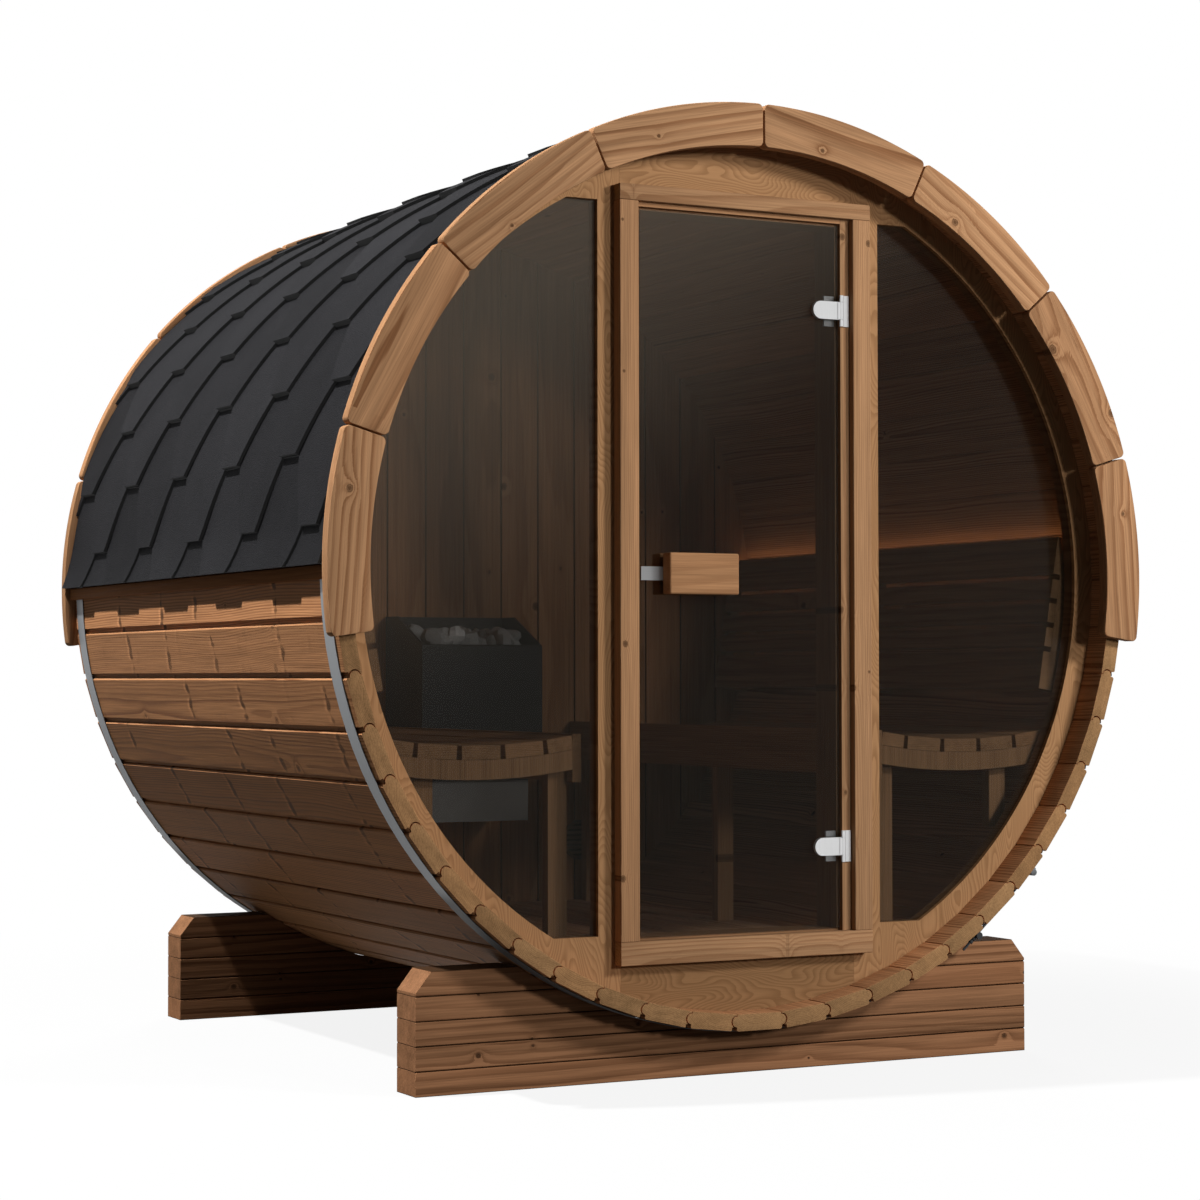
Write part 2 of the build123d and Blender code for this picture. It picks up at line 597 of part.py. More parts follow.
def hinge_plate(level):
    """The jamb's half of a hinge: a plate on the jamb's face, two ears and the pin between them."""
    back = JAMB_Y - FIT_GAP
    left = HINGE_X + KNUCKLE_RADIUS + KNUCKLE_SLACK
    plate = slab(left, left + PLATE_WIDTH, back - PLATE_THICKNESS, back, level - PLATE_HALF_HEIGHT,
                 level + PLATE_HALF_HEIGHT)
    ear_start = KNUCKLE_HALF_HEIGHT + KNUCKLE_SLACK
    for low, high in ((-PLATE_HALF_HEIGHT, -ear_start), (ear_start, PLATE_HALF_HEIGHT)):
        plan = Pos(HINGE_X, HINGE_Y) * Circle(KNUCKLE_RADIUS)
        plan += Pos(HINGE_X, back) * Rectangle(
            left - HINGE_X + PLATE_WIDTH / 2, PLATE_THICKNESS, align=(Align.MIN, Align.MAX))
        plate += upright(plan, level + low, level + high)
    plate += upright(Pos(HINGE_X, HINGE_Y) * Circle(HINGE_PIN_RADIUS), level - PLATE_HALF_HEIGHT,
                     level + PLATE_HALF_HEIGHT)
    return plate


def rear_wall():
    """The rear wall of upright boards with V joints, and its round vent."""
    disc = stave_outline(STAVE_INNER + CROZE_DEPTH - FIT_GAP)
    disc -= Pos(VENT_ACROSS, VENT_LEVEL) * Circle(VENT_RADIUS - VENT_RIM)
    wall = along_barrel(disc, REAR_ROOM_Y, REAR_WALL_Y)
    span = BARREL_RADIUS + CUT_OVERRUN
    half_count = int(BARREL_RADIUS // REAR_BOARD_WIDTH)
    for index in range(-half_count, half_count):
        across = (index + 1 / 2) * REAR_BOARD_WIDTH
        wall -= slab(across - FIT_GAP / 2, across + FIT_GAP / 2, REAR_ROOM_Y - CUT_OVERRUN,
                     REAR_WALL_Y + CUT_OVERRUN, -span, span)
        for face in (REAR_ROOM_Y, REAR_WALL_Y):
            wall -= v_groove_upright(face, across, span)
    return wall


def vent_grille():
    """Round slatted grilles over the vent, on both faces of the rear wall."""
    centre = Pos(VENT_ACROSS, VENT_LEVEL)
    rim = Circle(VENT_RADIUS) - Circle(VENT_RADIUS - VENT_RIM)
    pitch = 2 * VENT_RADIUS / VENT_SLATS
    slats = [Pos(0, (index + 1 / 2) * pitch - VENT_RADIUS) * Rectangle(2 * VENT_RADIUS, VENT_SLAT_HEIGHT)
             for index in range(VENT_SLATS)]
    grille = rim
    for slat in slats:
        grille += slat & Circle(VENT_RADIUS - VENT_RIM / 2)
    inside = along_barrel(centre * grille, REAR_ROOM_Y - FIT_GAP - VENT_PROUD, REAR_ROOM_Y - FIT_GAP)
    outside = along_barrel(centre * grille, REAR_WALL_Y + FIT_GAP, REAR_WALL_Y + FIT_GAP + VENT_PROUD)
    return inside, outside


def spread(count, front, back, size):
    """Front faces of a row of like pieces from front to back."""
    step = (back - front - size) / (count - 1)
    return [front + index * step for index in range(count)]


def floor():
    """Floor boards along the barrel on joists cut to the staves."""
    pitch = FLOOR_BOARD_WIDTH + FLOOR_BOARD_GAP
    joist_top = FLOOR_TOP - FLOOR_BOARD_THICKNESS - FIT_GAP
    side_count = int(half_chord(STAVE_INNER, FLOOR_TOP) // pitch)
    boards = []
    for index in range(-side_count, side_count + 1):
        middle = index * pitch
        boards.append(slab(middle - FLOOR_BOARD_WIDTH / 2, middle + FLOOR_BOARD_WIDTH / 2, ROOM_FRONT,
                           ROOM_REAR, FLOOR_TOP - FLOOR_BOARD_THICKNESS, FLOOR_TOP))
    joists = [slab(-BARREL_RADIUS, BARREL_RADIUS, front, front + FLOOR_JOIST_WIDTH, -BARREL_RADIUS, joist_top)
              for front in spread(FLOOR_JOIST_COUNT, ROOM_FRONT, ROOM_REAR, FLOOR_JOIST_WIDTH)]
    inside = room(ROOM_FRONT, ROOM_REAR)
    return [board & inside for board in boards], [joist & inside for joist in joists]


def seat_angle(across):
    """The lean of a right-hand slat on the seat's arc."""
    return degrees(atan2(across - SEAT_ARC_MIDDLE, SEAT_ARC_RADIUS))


def bench():
    """The right-hand bench: slats on a hollow arc, an apron, curved bearers and legs cut to the staves."""
    centre = SEAT_ARC_LOW + SEAT_ARC_RADIUS
    inside = room(ROOM_FRONT, ROOM_REAR)
    first_left = SEAT_EDGE + APRON_THICKNESS + FIT_GAP
    edges = [(first_left, FIRST_SLAT_WIDTH)]
    start = first_left + FIRST_SLAT_WIDTH + SLAT_GAP
    pitch = SLAT_WIDTH + SLAT_GAP
    edges += [(start + index * pitch, SLAT_WIDTH) for index in range(int((SEAT_WALL - start) // pitch))]
    seat = [slab(SEAT_EDGE, SEAT_EDGE + APRON_THICKNESS, ROOM_FRONT, ROOM_REAR, SEAT_TOP - APRON_HEIGHT,
                 SEAT_TOP)]
    for left, width in edges:
        board = Pos(0, -SEAT_ARC_RADIUS) * Rectangle(width, SLAT_THICKNESS, align=(Align.CENTER, Align.MAX))
        lean = seat_angle(left + width / 2)
        outline = Pos(SEAT_ARC_MIDDLE, centre) * Rot(Z=lean) * board
        seat.append(along_barrel(outline, ROOM_FRONT, ROOM_REAR) & inside)
    slat_corner = Vector(SEAT_ARC_RADIUS + SLAT_THICKNESS, SLAT_WIDTH / 2).length
    bearer_top = slat_corner + FIT_GAP
    ring = Circle(bearer_top + BEARER_DEPTH) - Circle(bearer_top)
    window = Pos(first_left, SEAT_TOP) * Rectangle(BARREL_RADIUS, BARREL_RADIUS, align=(Align.MIN, Align.MAX))
    bearer = (Pos(SEAT_ARC_MIDDLE, centre) * ring) & window
    frame = []
    leg_right = first_left + LEG_WIDTH
    leg_top = SEAT_ARC_LOW - SLAT_THICKNESS - LEG_OVERLAP
    legs_back = ROOM_REAR - BEARER_REAR_INSET
    for front in spread(BEARER_COUNT, ROOM_FRONT, legs_back, BEARER_THICKNESS * 2 + FIT_GAP):
        leg_front = front + BEARER_THICKNESS + FIT_GAP
        leg_back = leg_front + BEARER_THICKNESS
        frame.append(along_barrel(bearer, front, front + BEARER_THICKNESS) & inside)
        frame.append(slab(first_left, leg_right, leg_front, leg_back, FLOOR_TOP + FIT_GAP, leg_top))
        back_leg = slab(BACK_LEG_EDGE, BACK_LEG_EDGE + LEG_WIDTH, leg_front, leg_back,
                        SEAT_TOP - SLAT_THICKNESS - BACK_LEG_DROP, leg_top)
        frame.append(back_leg & inside)
    return seat, frame


def backrest():
    """The right-hand backrest: leaning slats on supports cut to the staves, and a light strip behind."""
    inside = room(ROOM_FRONT, ROOM_REAR)
    widths = [BACKREST_WIDE] + [BACKREST_NARROW] * BACKREST_NARROW_COUNT + [BACKREST_WIDE]
    height = sum(widths) + BACKREST_GAP * (len(widths) - 1)
    hang = Pos(BACKREST_EDGE_TOP, BACKREST_TOP) * Rot(Z=-BACKREST_LEAN)
    top = 0
    pieces = []
    for width in widths:
        board = Pos(0, top) * Rectangle(BACKREST_THICKNESS, width, align=(Align.MIN, Align.MAX))
        pieces.append(along_barrel(hang * board, ROOM_FRONT, ROOM_REAR) & inside)
        top -= width + BACKREST_GAP
    behind = BACKREST_THICKNESS + FIT_GAP
    post = hang * Pos(behind, -LIGHT_DROP - 2 * LIGHT_SIZE) * Rectangle(
        SUPPORT_DEPTH, height - LIGHT_DROP - 2 * LIGHT_SIZE, align=(Align.MIN, Align.MAX))
    for front in spread(BEARER_COUNT, ROOM_FRONT, ROOM_REAR, SUPPORT_WIDTH):
        pieces.append(along_barrel(post, front, front + SUPPORT_WIDTH) & inside)
    strip = hang * Pos(behind, -LIGHT_DROP) * Rectangle(LIGHT_SIZE, LIGHT_SIZE, align=(Align.MIN, Align.MAX))
    return pieces, along_barrel(strip, ROOM_FRONT, ROOM_REAR) & inside


def heater():
    """The wall heater: a black case with a stone tray open to the top, on a smaller grey base."""
    back = REAR_ROOM_Y - FIT_GAP
    front = back - HEATER_DEPTH
    side = Polygon((front, HEATER_CASE_BOTTOM), (back, HEATER_CASE_BOTTOM), (back, HEATER_BACK_TOP),
                   (back - HEATER_CREST, HEATER_BACK_TOP), (front, HEATER_FRONT_TOP), align=None)
    profile = Rot(Y=90) * Rot(Z=90) * side
    case = Pos(-HEATER_HALF_WIDTH, 0, AXIS_HEIGHT) * extrude(profile, amount=2 * HEATER_HALF_WIDTH)
    inner = HEATER_HALF_WIDTH - HEATER_WALL
    tray_floor = HEATER_FRONT_TOP - HEATER_TRAY_DEPTH
    case -= slab(-inner, inner, front + HEATER_WALL, back - HEATER_WALL, tray_floor,
                 HEATER_BACK_TOP + CUT_OVERRUN)
    base = slab(-HEATER_BASE_HALF_WIDTH, HEATER_BASE_HALF_WIDTH, front + HEATER_BASE_SETBACK, back,
                HEATER_BASE_BOTTOM, HEATER_CASE_BOTTOM - FIT_GAP)
    stones = []
    column_pitch = 2 * inner / STONE_COLUMNS
    row_pitch = (HEATER_DEPTH - 2 * HEATER_WALL) / STONE_ROWS
    for row in range(STONE_ROWS):
        for column in range(STONE_COLUMNS):
            across = (column + 1 / 2) * column_pitch - inner
            along = front + HEATER_WALL + (row + 1 / 2) * row_pitch
            stones.append(Pos(across, along, AXIS_HEIGHT + tray_floor + STONE_RADIUS + FIT_GAP)
                          * Sphere(STONE_RADIUS))
    return case, base, stones


os.makedirs("parts", exist_ok=True)

save("front_cradle", cradle(FRONT + CRADLE_INSET))
save("rear_cradle", cradle(REAR - CRADLE_INSET - CRADLE_THICKNESS))
for name, group in staves().items():
    save(name, *group)
save("front_band", *band(FRONT + BAND_INSET))
save("rear_band", *band(REAR - BAND_INSET - BAND_WIDTH))
batten = eaves_batten()
save("right_eaves_batten", batten)
save("left_eaves_batten", mirrored(batten))
save("roof_cover", roof_cover())
save("front_fascia", *fascia(FRONT - FASCIA_THICKNESS, FRONT - FIT_GAP))
save("rear_fascia", *fascia(REAR + FIT_GAP, REAR + FASCIA_THICKNESS))
for name, shape in (front_wall() | door_casing() | door_jamb()).items():
    save(name, shape)
pane = window_pane()
save("right_window_glass", pane)
save("left_window_glass", mirrored(pane))
save("door_glass", slab(LEAF_LEFT, LEAF_RIGHT, LEAF_Y, LEAF_BACK, LEAF_BOTTOM, LEAF_TOP))
blocks, strap = door_handle()
save("door_handle", *blocks)
save("latch_strap", strap)
save("hinge_clamps", *hinge_clamp(HINGE_TOP), *hinge_clamp(HINGE_BOTTOM))
save("hinge_plates", hinge_plate(HINGE_TOP), hinge_plate(HINGE_BOTTOM))
save("rear_wall", rear_wall())
save("vent_grille", *vent_grille())
floor_boards, floor_joists = floor()
save("floor_boards", *floor_boards)
save("floor_joists", *floor_joists)
seat, frame = bench()
save("right_bench_seat", *seat)
save("right_bench_frame", *frame)
save("left_bench_seat", *[mirrored(piece) for piece in seat])
save("left_bench_frame", *[mirrored(piece) for piece in frame])
rest, light = backrest()
save("right_backrest", *rest)
save("left_backrest", *[mirrored(piece) for piece in rest])
save("light_strips", light, mirrored(light))
case, base, stones = heater()
save("heater_case", case)
save("heater_base", base)
save("heater_stones", *stones)
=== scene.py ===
"""Looks of the barrel sauna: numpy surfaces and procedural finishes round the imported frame."""
import logging
import math
from collections.abc import Sequence
from dataclasses import dataclass, field
from enum import Enum

import bpy
import numpy as np
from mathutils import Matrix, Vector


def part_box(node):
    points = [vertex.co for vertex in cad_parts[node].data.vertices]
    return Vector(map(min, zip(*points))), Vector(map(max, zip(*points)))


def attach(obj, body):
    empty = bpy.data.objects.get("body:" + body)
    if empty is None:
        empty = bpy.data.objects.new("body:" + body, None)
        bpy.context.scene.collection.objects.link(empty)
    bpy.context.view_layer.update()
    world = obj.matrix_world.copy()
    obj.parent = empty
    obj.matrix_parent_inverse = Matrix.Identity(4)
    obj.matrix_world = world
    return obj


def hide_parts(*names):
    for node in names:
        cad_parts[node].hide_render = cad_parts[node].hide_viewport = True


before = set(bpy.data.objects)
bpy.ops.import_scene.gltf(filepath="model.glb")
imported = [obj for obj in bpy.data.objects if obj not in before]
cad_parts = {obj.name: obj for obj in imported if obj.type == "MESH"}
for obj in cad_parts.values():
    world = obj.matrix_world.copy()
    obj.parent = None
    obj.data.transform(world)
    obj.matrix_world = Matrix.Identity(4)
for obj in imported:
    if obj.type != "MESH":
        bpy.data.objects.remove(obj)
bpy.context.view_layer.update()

LOG = logging.getLogger("barrel_sauna")
SEED = 5052
WOOD_GLOSS = 0.012
WHITE = (1.0, 1.0, 1.0, 1.0)
SEAM_DARK = (0.012, 0.008, 0.005)
BARREL_MIDDLE = (0.0, 0.0, 1.0)

Place = tuple[float, float, float]
Rgb = tuple[float, float, float]
Number = "Wire | float"


class Axis(Enum):
    """A direction of the row frame."""

    X = 0
    Y = 1
    Z = 2


class Side(Enum):
    """Which half of the barrel, as the sign of its X."""

    LEFT = -1
    RIGHT = 1


class Body(Enum):
    """The bodies that pieces ride on."""

    SAUNA = "sauna"
    DOOR = "door"


class Wire:
    """A shader socket on which Python's operators add Math nodes."""

    def __init__(self, shader: "Shader", socket: bpy.types.NodeSocket) -> None:
        """Keep the socket and the shader it belongs to."""
        self.shader, self.socket = shader, socket

    def out(self, name: str) -> "Wire":
        """Another output of the node that this wire leaves."""
        return Wire(self.shader, self.socket.node.outputs[name])

    def math(self, operation: str, *others: Number) -> "Wire":
        """Pass this value, and others after it, through one Math node."""
        values = dict(enumerate((self, *others)))
        return self.shader.node("ShaderNodeMath", {"operation": operation}, values)

    def __add__(self, other: Number) -> "Wire":
        """Sum."""
        return self.math("ADD", other)

    def __sub__(self, other: Number) -> "Wire":
        """Difference."""
        return self.math("SUBTRACT", other)

    def __mul__(self, other: Number) -> "Wire":
        """Product."""
        return self.math("MULTIPLY", other)

    def __truediv__(self, other: Number) -> "Wire":
        """Quotient."""
        return self.math("DIVIDE", other)

    def __rsub__(self, other: float) -> "Wire":
        """A number less this value."""
        return self.shader.node("ShaderNodeMath", {"operation": "SUBTRACT"}, {0: other, 1: self})

    __radd__ = __add__
    __rmul__ = __mul__

    def step(self, low: float, high: float) -> "Wire":
        """A smooth rise from 0 at low to 1 at high, or a fall where low is the larger.

        Args:
            low: the value that gives 0.
            high: the value that gives 1.

        Returns:
            The smoothed share, from 0 to 1.
        """
        first, last = (low, high) if low < high else (high, low)
        rise = self.shader.node("ShaderNodeMapRange", {"interpolation_type": "SMOOTHSTEP"},
                                {"Value": self, "From Min": first, "From Max": last})
        return rise if low < high else 1.0 - rise


class Shader:
    """One material, or the world, under construction."""

    def __init__(self, name: str, library: bpy.types.bpy_prop_collection | None = None) -> None:
        """Start an empty node tree.

        Args:
            name: the material's or world's name.
            library: where it is kept, the materials unless given.
        """
        self.block = (bpy.data.materials if library is None else library).new(name)
        self.block.use_nodes = True
        self.tree = self.block.node_tree
        self.tree.nodes.clear()

    def node(self, kind: str, settings: dict | None = None, inputs: dict | None = None,
             output: int | str = 0) -> Wire | None:
        """Add a node, with its settings first and then its sockets.

        Args:
            kind: the node's type.
            settings: its own properties.
            inputs: values or wires by socket name or number.
            output: the output to hand back.

        Returns:
            That output as a wire, or None for a node that has no outputs.
        """
        made = self.tree.nodes.new(kind)
        for key, value in (settings or {}).items():
            setattr(made, key, value)
        for key, value in (inputs or {}).items():
            if isinstance(value, Wire):
                self.tree.links.new(value.socket, made.inputs[key])
            else:
                made.inputs[key].default_value = value
        return Wire(self, made.outputs[output]) if len(made.outputs) else None

    def split(self, vector: Wire) -> tuple[Wire, Wire, Wire]:
        """The three parts of a vector or colour."""
        parts = self.node("ShaderNodeSeparateXYZ", None, {0: vector})
        return parts, parts.out("Y"), parts.out("Z")

    def join(self, x: Number, y: Number, z: Number) -> Wire:
        """A vector from its three parts."""
        return self.node("ShaderNodeCombineXYZ", None, {0: x, 1: y, 2: z})

    def place(self) -> Wire:
        """Object coordinates, which are the row frame's metres."""
        return self.node("ShaderNodeTexCoord", None, None, "Object")

    def attribute(self, name: str, output: str = "Fac") -> Wire:
        """A value that the mesh keeps at its points."""
        return self.node("ShaderNodeAttribute", {"attribute_name": name}, None, output)

    def noise(self, where: Wire, scale: float = 1.0, detail: float = 2.0, rough: float = 0.5) -> Wire:
        """Noise from 0 to 1 at a point, with scale features in a unit and detail octaves."""
        return self.node("ShaderNodeTexNoise", {"noise_dimensions": "3D"},
                         {"Vector": where, "Scale": scale, "Detail": detail, "Roughness": rough})

    def streak(self, x: Number, y: Number, z: Number, detail: float, rough: float = 0.5) -> Wire:
        """Noise of a point whose three parts are scaled one by one."""
        return self.noise(self.join(x, y, z), 1.0, detail, rough)

    def wander(self, along: Wire) -> Wire:
        """One-dimensional noise, centred on 0, for a line that strays."""
        return self.node("ShaderNodeTexNoise", {"noise_dimensions": "1D"},
                         {"W": along, "Scale": 1.0, "Detail": 1.0}) - 0.5

    def draws(self, number: Wire) -> tuple[Wire, Wire, Wire]:
        """Three random shares that belong to a number."""
        return self.split(self.node("ShaderNodeTexWhiteNoise", {"noise_dimensions": "1D"},
                                    {"W": number}, "Color"))

    def mix(self, share: Number, first: Wire | Rgb, second: Wire | Rgb, blend: str = "MIX") -> Wire:
        """Blend two colours, with that share of the second."""
        first, second = (c if isinstance(c, Wire) else (*c, 1.0) for c in (first, second))
        return self.node("ShaderNodeMix", {"data_type": "RGBA", "blend_type": blend},
                         {0: share, 6: first, 7: second}, 2)

    def shade(self, colour: Wire | Rgb, level: Wire) -> Wire:
        """A colour made lighter or darker by a level, where 1 keeps it."""
        return self.node("ShaderNodeVectorMath", {"operation": "SCALE"}, {0: colour, "Scale": level})

    def bump(self, height: Wire, distance: float) -> Wire:
        """A normal from a height field, where distance is the height of 1 in metres."""
        return self.node("ShaderNodeBump", None, {"Height": height, "Distance": distance, "Strength": 1.0})

    def surface(self, sockets: dict) -> bpy.types.Material:
        """Close the material with a Principled surface, from values or wires by socket name."""
        return self.close(self.node("ShaderNodeBsdfPrincipled", None, sockets))

    def close(self, surface: Wire, output: str = "ShaderNodeOutputMaterial") -> bpy.types.ID:
        """Send a surface to the output and hand back the material or world."""
        self.node(output, None, {"Surface": surface})
        return self.block


@dataclass(frozen=True)
class BoardGrain:
    """Grain kept in the mesh: each point's place along, across and into its own board."""

    def read(self, shader: Shader) -> tuple[Wire, Wire, Wire | None]:
        """The grain vector and the board's number, from the mesh's attributes; no drawn seam."""
        return shader.attribute("grain", "Vector"), shader.attribute("board"), None


@dataclass(frozen=True)
class FrameGrain:
    """Grain of a CAD node's boards, read from Object coordinates.

    Boards lie side by side across one axis: number = floor((across - start) / pitch).
    """

    along: Axis
    across: Axis
    depth: Axis
    pitch: float = 1.0
    start: float = -0.5
    mirrored: bool = False
    split_above: float | None = None
    seam: float = 0.0
    salt: float = 0.0

    def read(self, shader: Shader) -> tuple[Wire, Wire, Wire | None]:
        """Work out grain, board number and seam.

        Args:
            shader: the material that reads them.

        Returns:
            The grain vector, the board's number, and a mask of 1 in the seams or None.
        """
        parts = shader.split(shader.place())
        across = parts[self.across.value]
        count = (across.math("ABSOLUTE") if self.mirrored else across) - self.start
        index = (count / self.pitch).math("FLOOR")
        local = count - (index + 0.5) * self.pitch
        number = index * 3.0 + self.salt
        half = parts[0].math("GREATER_THAN", 0.0)
        if self.mirrored:
            number = number + half
        if self.split_above is not None:
            number = number + half * across.math("GREATER_THAN", self.split_above)
        half_pitch = self.pitch / 2
        seam = local.math("ABSOLUTE").step(half_pitch - self.seam, half_pitch) if self.seam else None
        return shader.join(parts[self.along.value], local, parts[self.depth.value]), number, seam


@dataclass(frozen=True)
class WoodFinish:
    """Sawn softwood, oiled: growth rings cut as a solid, fibres and knots.

    A ring is a step of distance from a pith line that strays along the board. Its late wood is dark and
    ends sharply. Knots push the rings aside and have a dark rim.
    """

    name: str
    early: Rgb
    late: Rgb
    knot: Rgb = (0.075, 0.036, 0.018)
    ring: float = 0.0065
    ring_depth: float = 0.6
    spread: float = 0.3
    knots: float = 0.35
    knot_cell: tuple[float, float] = (0.33, 0.10)
    knot_size: tuple[float, float] = (0.0035, 0.010)
    spikes: float = 0.0
    spike_run: float = 0.36
    rough: float = 0.62
    streaks: float = 0.5
    sway: float = 0.05
    drift: float = 0.10
    pith: tuple[float, float] = (0.03, 0.12)
    cloud: float = 0.3

    def material(self, source: BoardGrain | FrameGrain) -> bpy.types.Material:
        """Wire the finish for boards whose grain comes from one source.

        Args:
            source: where the grain and the board's number come from.

        Returns:
            The material.
        """
        shader = Shader(self.name)
        grain, number, seam = source.read(shader)
        one, two, three = shader.draws(number * 7.31 + 3.0)
        along, across, depth = shader.split(grain)
        own = along + one * 61.0
        mask, rim, push = self._knots(shader, own, across + two * 7.0)
        middle = (one - 0.5) * self.drift + shader.wander(own * 1.1) * self.sway
        near, far = self.pith
        pith = shader.wander(own * 0.8 + 400.0) * self.sway * 0.4 - (two * (far - near) + near)
        off, deep = across - middle, depth - pith
        wave = shader.streak(own * 1.6, across * 22.0, depth * 22.0 + three * 9.0, 3.0, 0.6) - 0.5
        radius = (off * off + deep * deep).math("SQRT") + push + wave * 0.0045
        count = radius / self.ring
        share = count.math("FRACT")
        strength = shader.node("ShaderNodeTexWhiteNoise", {"noise_dimensions": "1D"},
                               {"W": count.math("FLOOR") + three * 50.0}) * 0.6 + 0.4
        late = share.step(0.3, 0.9) * share.step(1.0, 0.92) * strength
        fibre = shader.streak(own * 5.0, across * 260.0, depth * 260.0, 3.0, 0.65)
        cloud = shader.streak(own * 1.2, across * 34.0, depth * 34.0 + three * 30.0, 3.0, 0.6)
        colour = shader.mix(late * self.ring_depth, self.early, self.late)
        level = (three - 0.5) * self.spread + 1.0 + (cloud - 0.5) * self.cloud * 2.0
        colour = shader.shade(colour, level + (fibre - 0.5) * self.streaks * 2.0)
        colour = shader.mix((two - 0.35).math("MAXIMUM", 0.0) * 0.3, colour,
                            shader.mix(1.0, colour, (1.0, 0.76, 0.60), "MULTIPLY"))
        dark = (mask * 0.8).math("MAXIMUM", rim)
        if self.spikes:
            pale, core = self._spikes(shader, own, across, depth, two)
            colour = shader.shade(colour, pale * 0.45 + 1.0)
            dark = dark.math("MAXIMUM", core * self.spikes)
        colour = shader.mix(dark, colour, self.knot)
        height = fibre * 0.7
        if seam is not None:
            colour = shader.mix(seam * 0.85, colour, SEAM_DARK)
            height = height - seam * 6.0
        return shader.surface({"Base Color": colour, "Roughness": late * -0.1 + fibre * 0.12 + self.rough,
                               "Specular IOR Level": WOOD_GLOSS,
                               "Normal": shader.bump(height, 0.0006)})

    def _spikes(self, shader: Shader, along: Wire, across: Wire, depth: Wire,
                draw: Wire) -> tuple[Wire, Wire]:
        """Slim branch traces that cross the board's outer face, one to a stretch at most.

        Args:
            shader: the material.
            along: metres along the board.
            across: metres across the board.
            depth: metres out from the board's middle.
            draw: a random share of the board.

        Returns:
            The pale flank of each trace and its dark core.
        """
        cells = shader.node("ShaderNodeTexVoronoi", {"voronoi_dimensions": "1D", "feature": "F1"},
                            {"W": along / self.spike_run, "Scale": 1.0, "Randomness": 0.8})
        chance, slant, size = shader.split(cells.out("Color"))
        run = along - cells.out("W") * self.spike_run
        sway = shader.wander(across * 22.0 + slant * 90.0) * 0.022 + across * (slant - 0.5) * 0.35
        offset = run + sway
        present = chance.math("LESS_THAN", 0.72) * depth.step(0.0, 0.006)
        fade = shader.streak(across * 38.0, slant * 40.0, draw * 20.0, 1.0).step(0.36, 0.62)
        core = (offset.math("ABSOLUTE") / (fade * 0.012 + 0.0035)).step(1.0, 0.35)
        core = core * present * (fade * 0.86 + 0.14)
        flank = (offset - 0.014).math("ABSOLUTE").step(0.016, 0.0) * present * fade
        eye = across - (size - 0.5) * 0.07
        eye = (offset * offset + eye * eye * 0.35).math("SQRT").step(0.0065, 0.003) * present
        return flank, core.math("MAXIMUM", eye)

    def _knots(self, shader: Shader, along: Wire, across: Wire) -> tuple[Wire, Wire, Wire]:
        """Scatter knots over the board's face, one to a cell at most.

        Args:
            shader: the material.
            along: metres along the board.
            across: metres across the board, with the board's own offset.

        Returns:
            The knot's mask, its rim, and how far it pushes the rings.
        """
        wide, high = self.knot_cell
        cells = shader.node("ShaderNodeTexVoronoi", {"voronoi_dimensions": "2D", "feature": "F1"},
                            {"Vector": shader.join(along / wide, across / high, 0.0), "Scale": 1.0,
                             "Randomness": 0.85})
        size, chance, _ = shader.split(cells.out("Color"))
        centre = shader.split(cells.out("Position"))
        run = along - centre[0] * wide
        rise = across - centre[1] * high
        rough = shader.wander(run * 160.0 + rise * 230.0) * 0.5 + 1.0
        far = (run * run + rise * rise * 1.3).math("SQRT") * rough
        present = chance.math("LESS_THAN", self.knots)
        reach = size * size * (self.knot_size[1] - self.knot_size[0]) + self.knot_size[0]
        span = far / reach
        mask = span.step(1.0, 0.6) * present
        rim = (span - 1.0).math("ABSOLUTE").step(0.4, 0.0) * present * 0.8
        push = reach * present * 1.6 / (span * span * 0.4 + 1.0)
        return mask, rim, push


@dataclass(frozen=True)
class PlywoodFinish:
    """Rotary-cut plywood: contour lines of a slowly rolling height, long in the grain's direction."""

    name: str
    light: Rgb
    dark: Rgb
    along: Axis
    lines: float = 66.0
    rough: float = 0.6

    def material(self) -> bpy.types.Material:
        """Wire the contour pattern on Object coordinates."""
        shader = Shader(self.name)
        x, y, z = shader.split(shader.place())
        along, across = (x, z) if self.along is Axis.X else (z, x)
        roll = shader.streak(along * 1.9, across * 6.5, y * 0.2, 2.0, 0.45)
        drift = shader.streak(along * 9.0, across * 45.0, y, 2.0) - 0.5
        share = (roll * self.lines + drift * 0.8).math("FRACT")
        late = share.step(0.2, 0.95) * share.step(1.0, 0.92)
        fibre = shader.streak(along * 8.0, across * 300.0, y * 300.0, 3.0, 0.6)
        cloud = shader.streak(along * 1.5, across * 4.0, y, 2.0)
        colour = shader.mix(late * 0.5, self.light, self.dark)
        colour = shader.shade(colour, (fibre - 0.5) * 0.3 + (cloud - 0.5) * 0.35 + 1.0)
        return shader.surface({"Base Color": colour, "Roughness": fibre * 0.12 + self.rough,
                               "Specular IOR Level": WOOD_GLOSS,
                               "Normal": shader.bump(late * 0.3 + fibre * 0.5, 0.0004)})


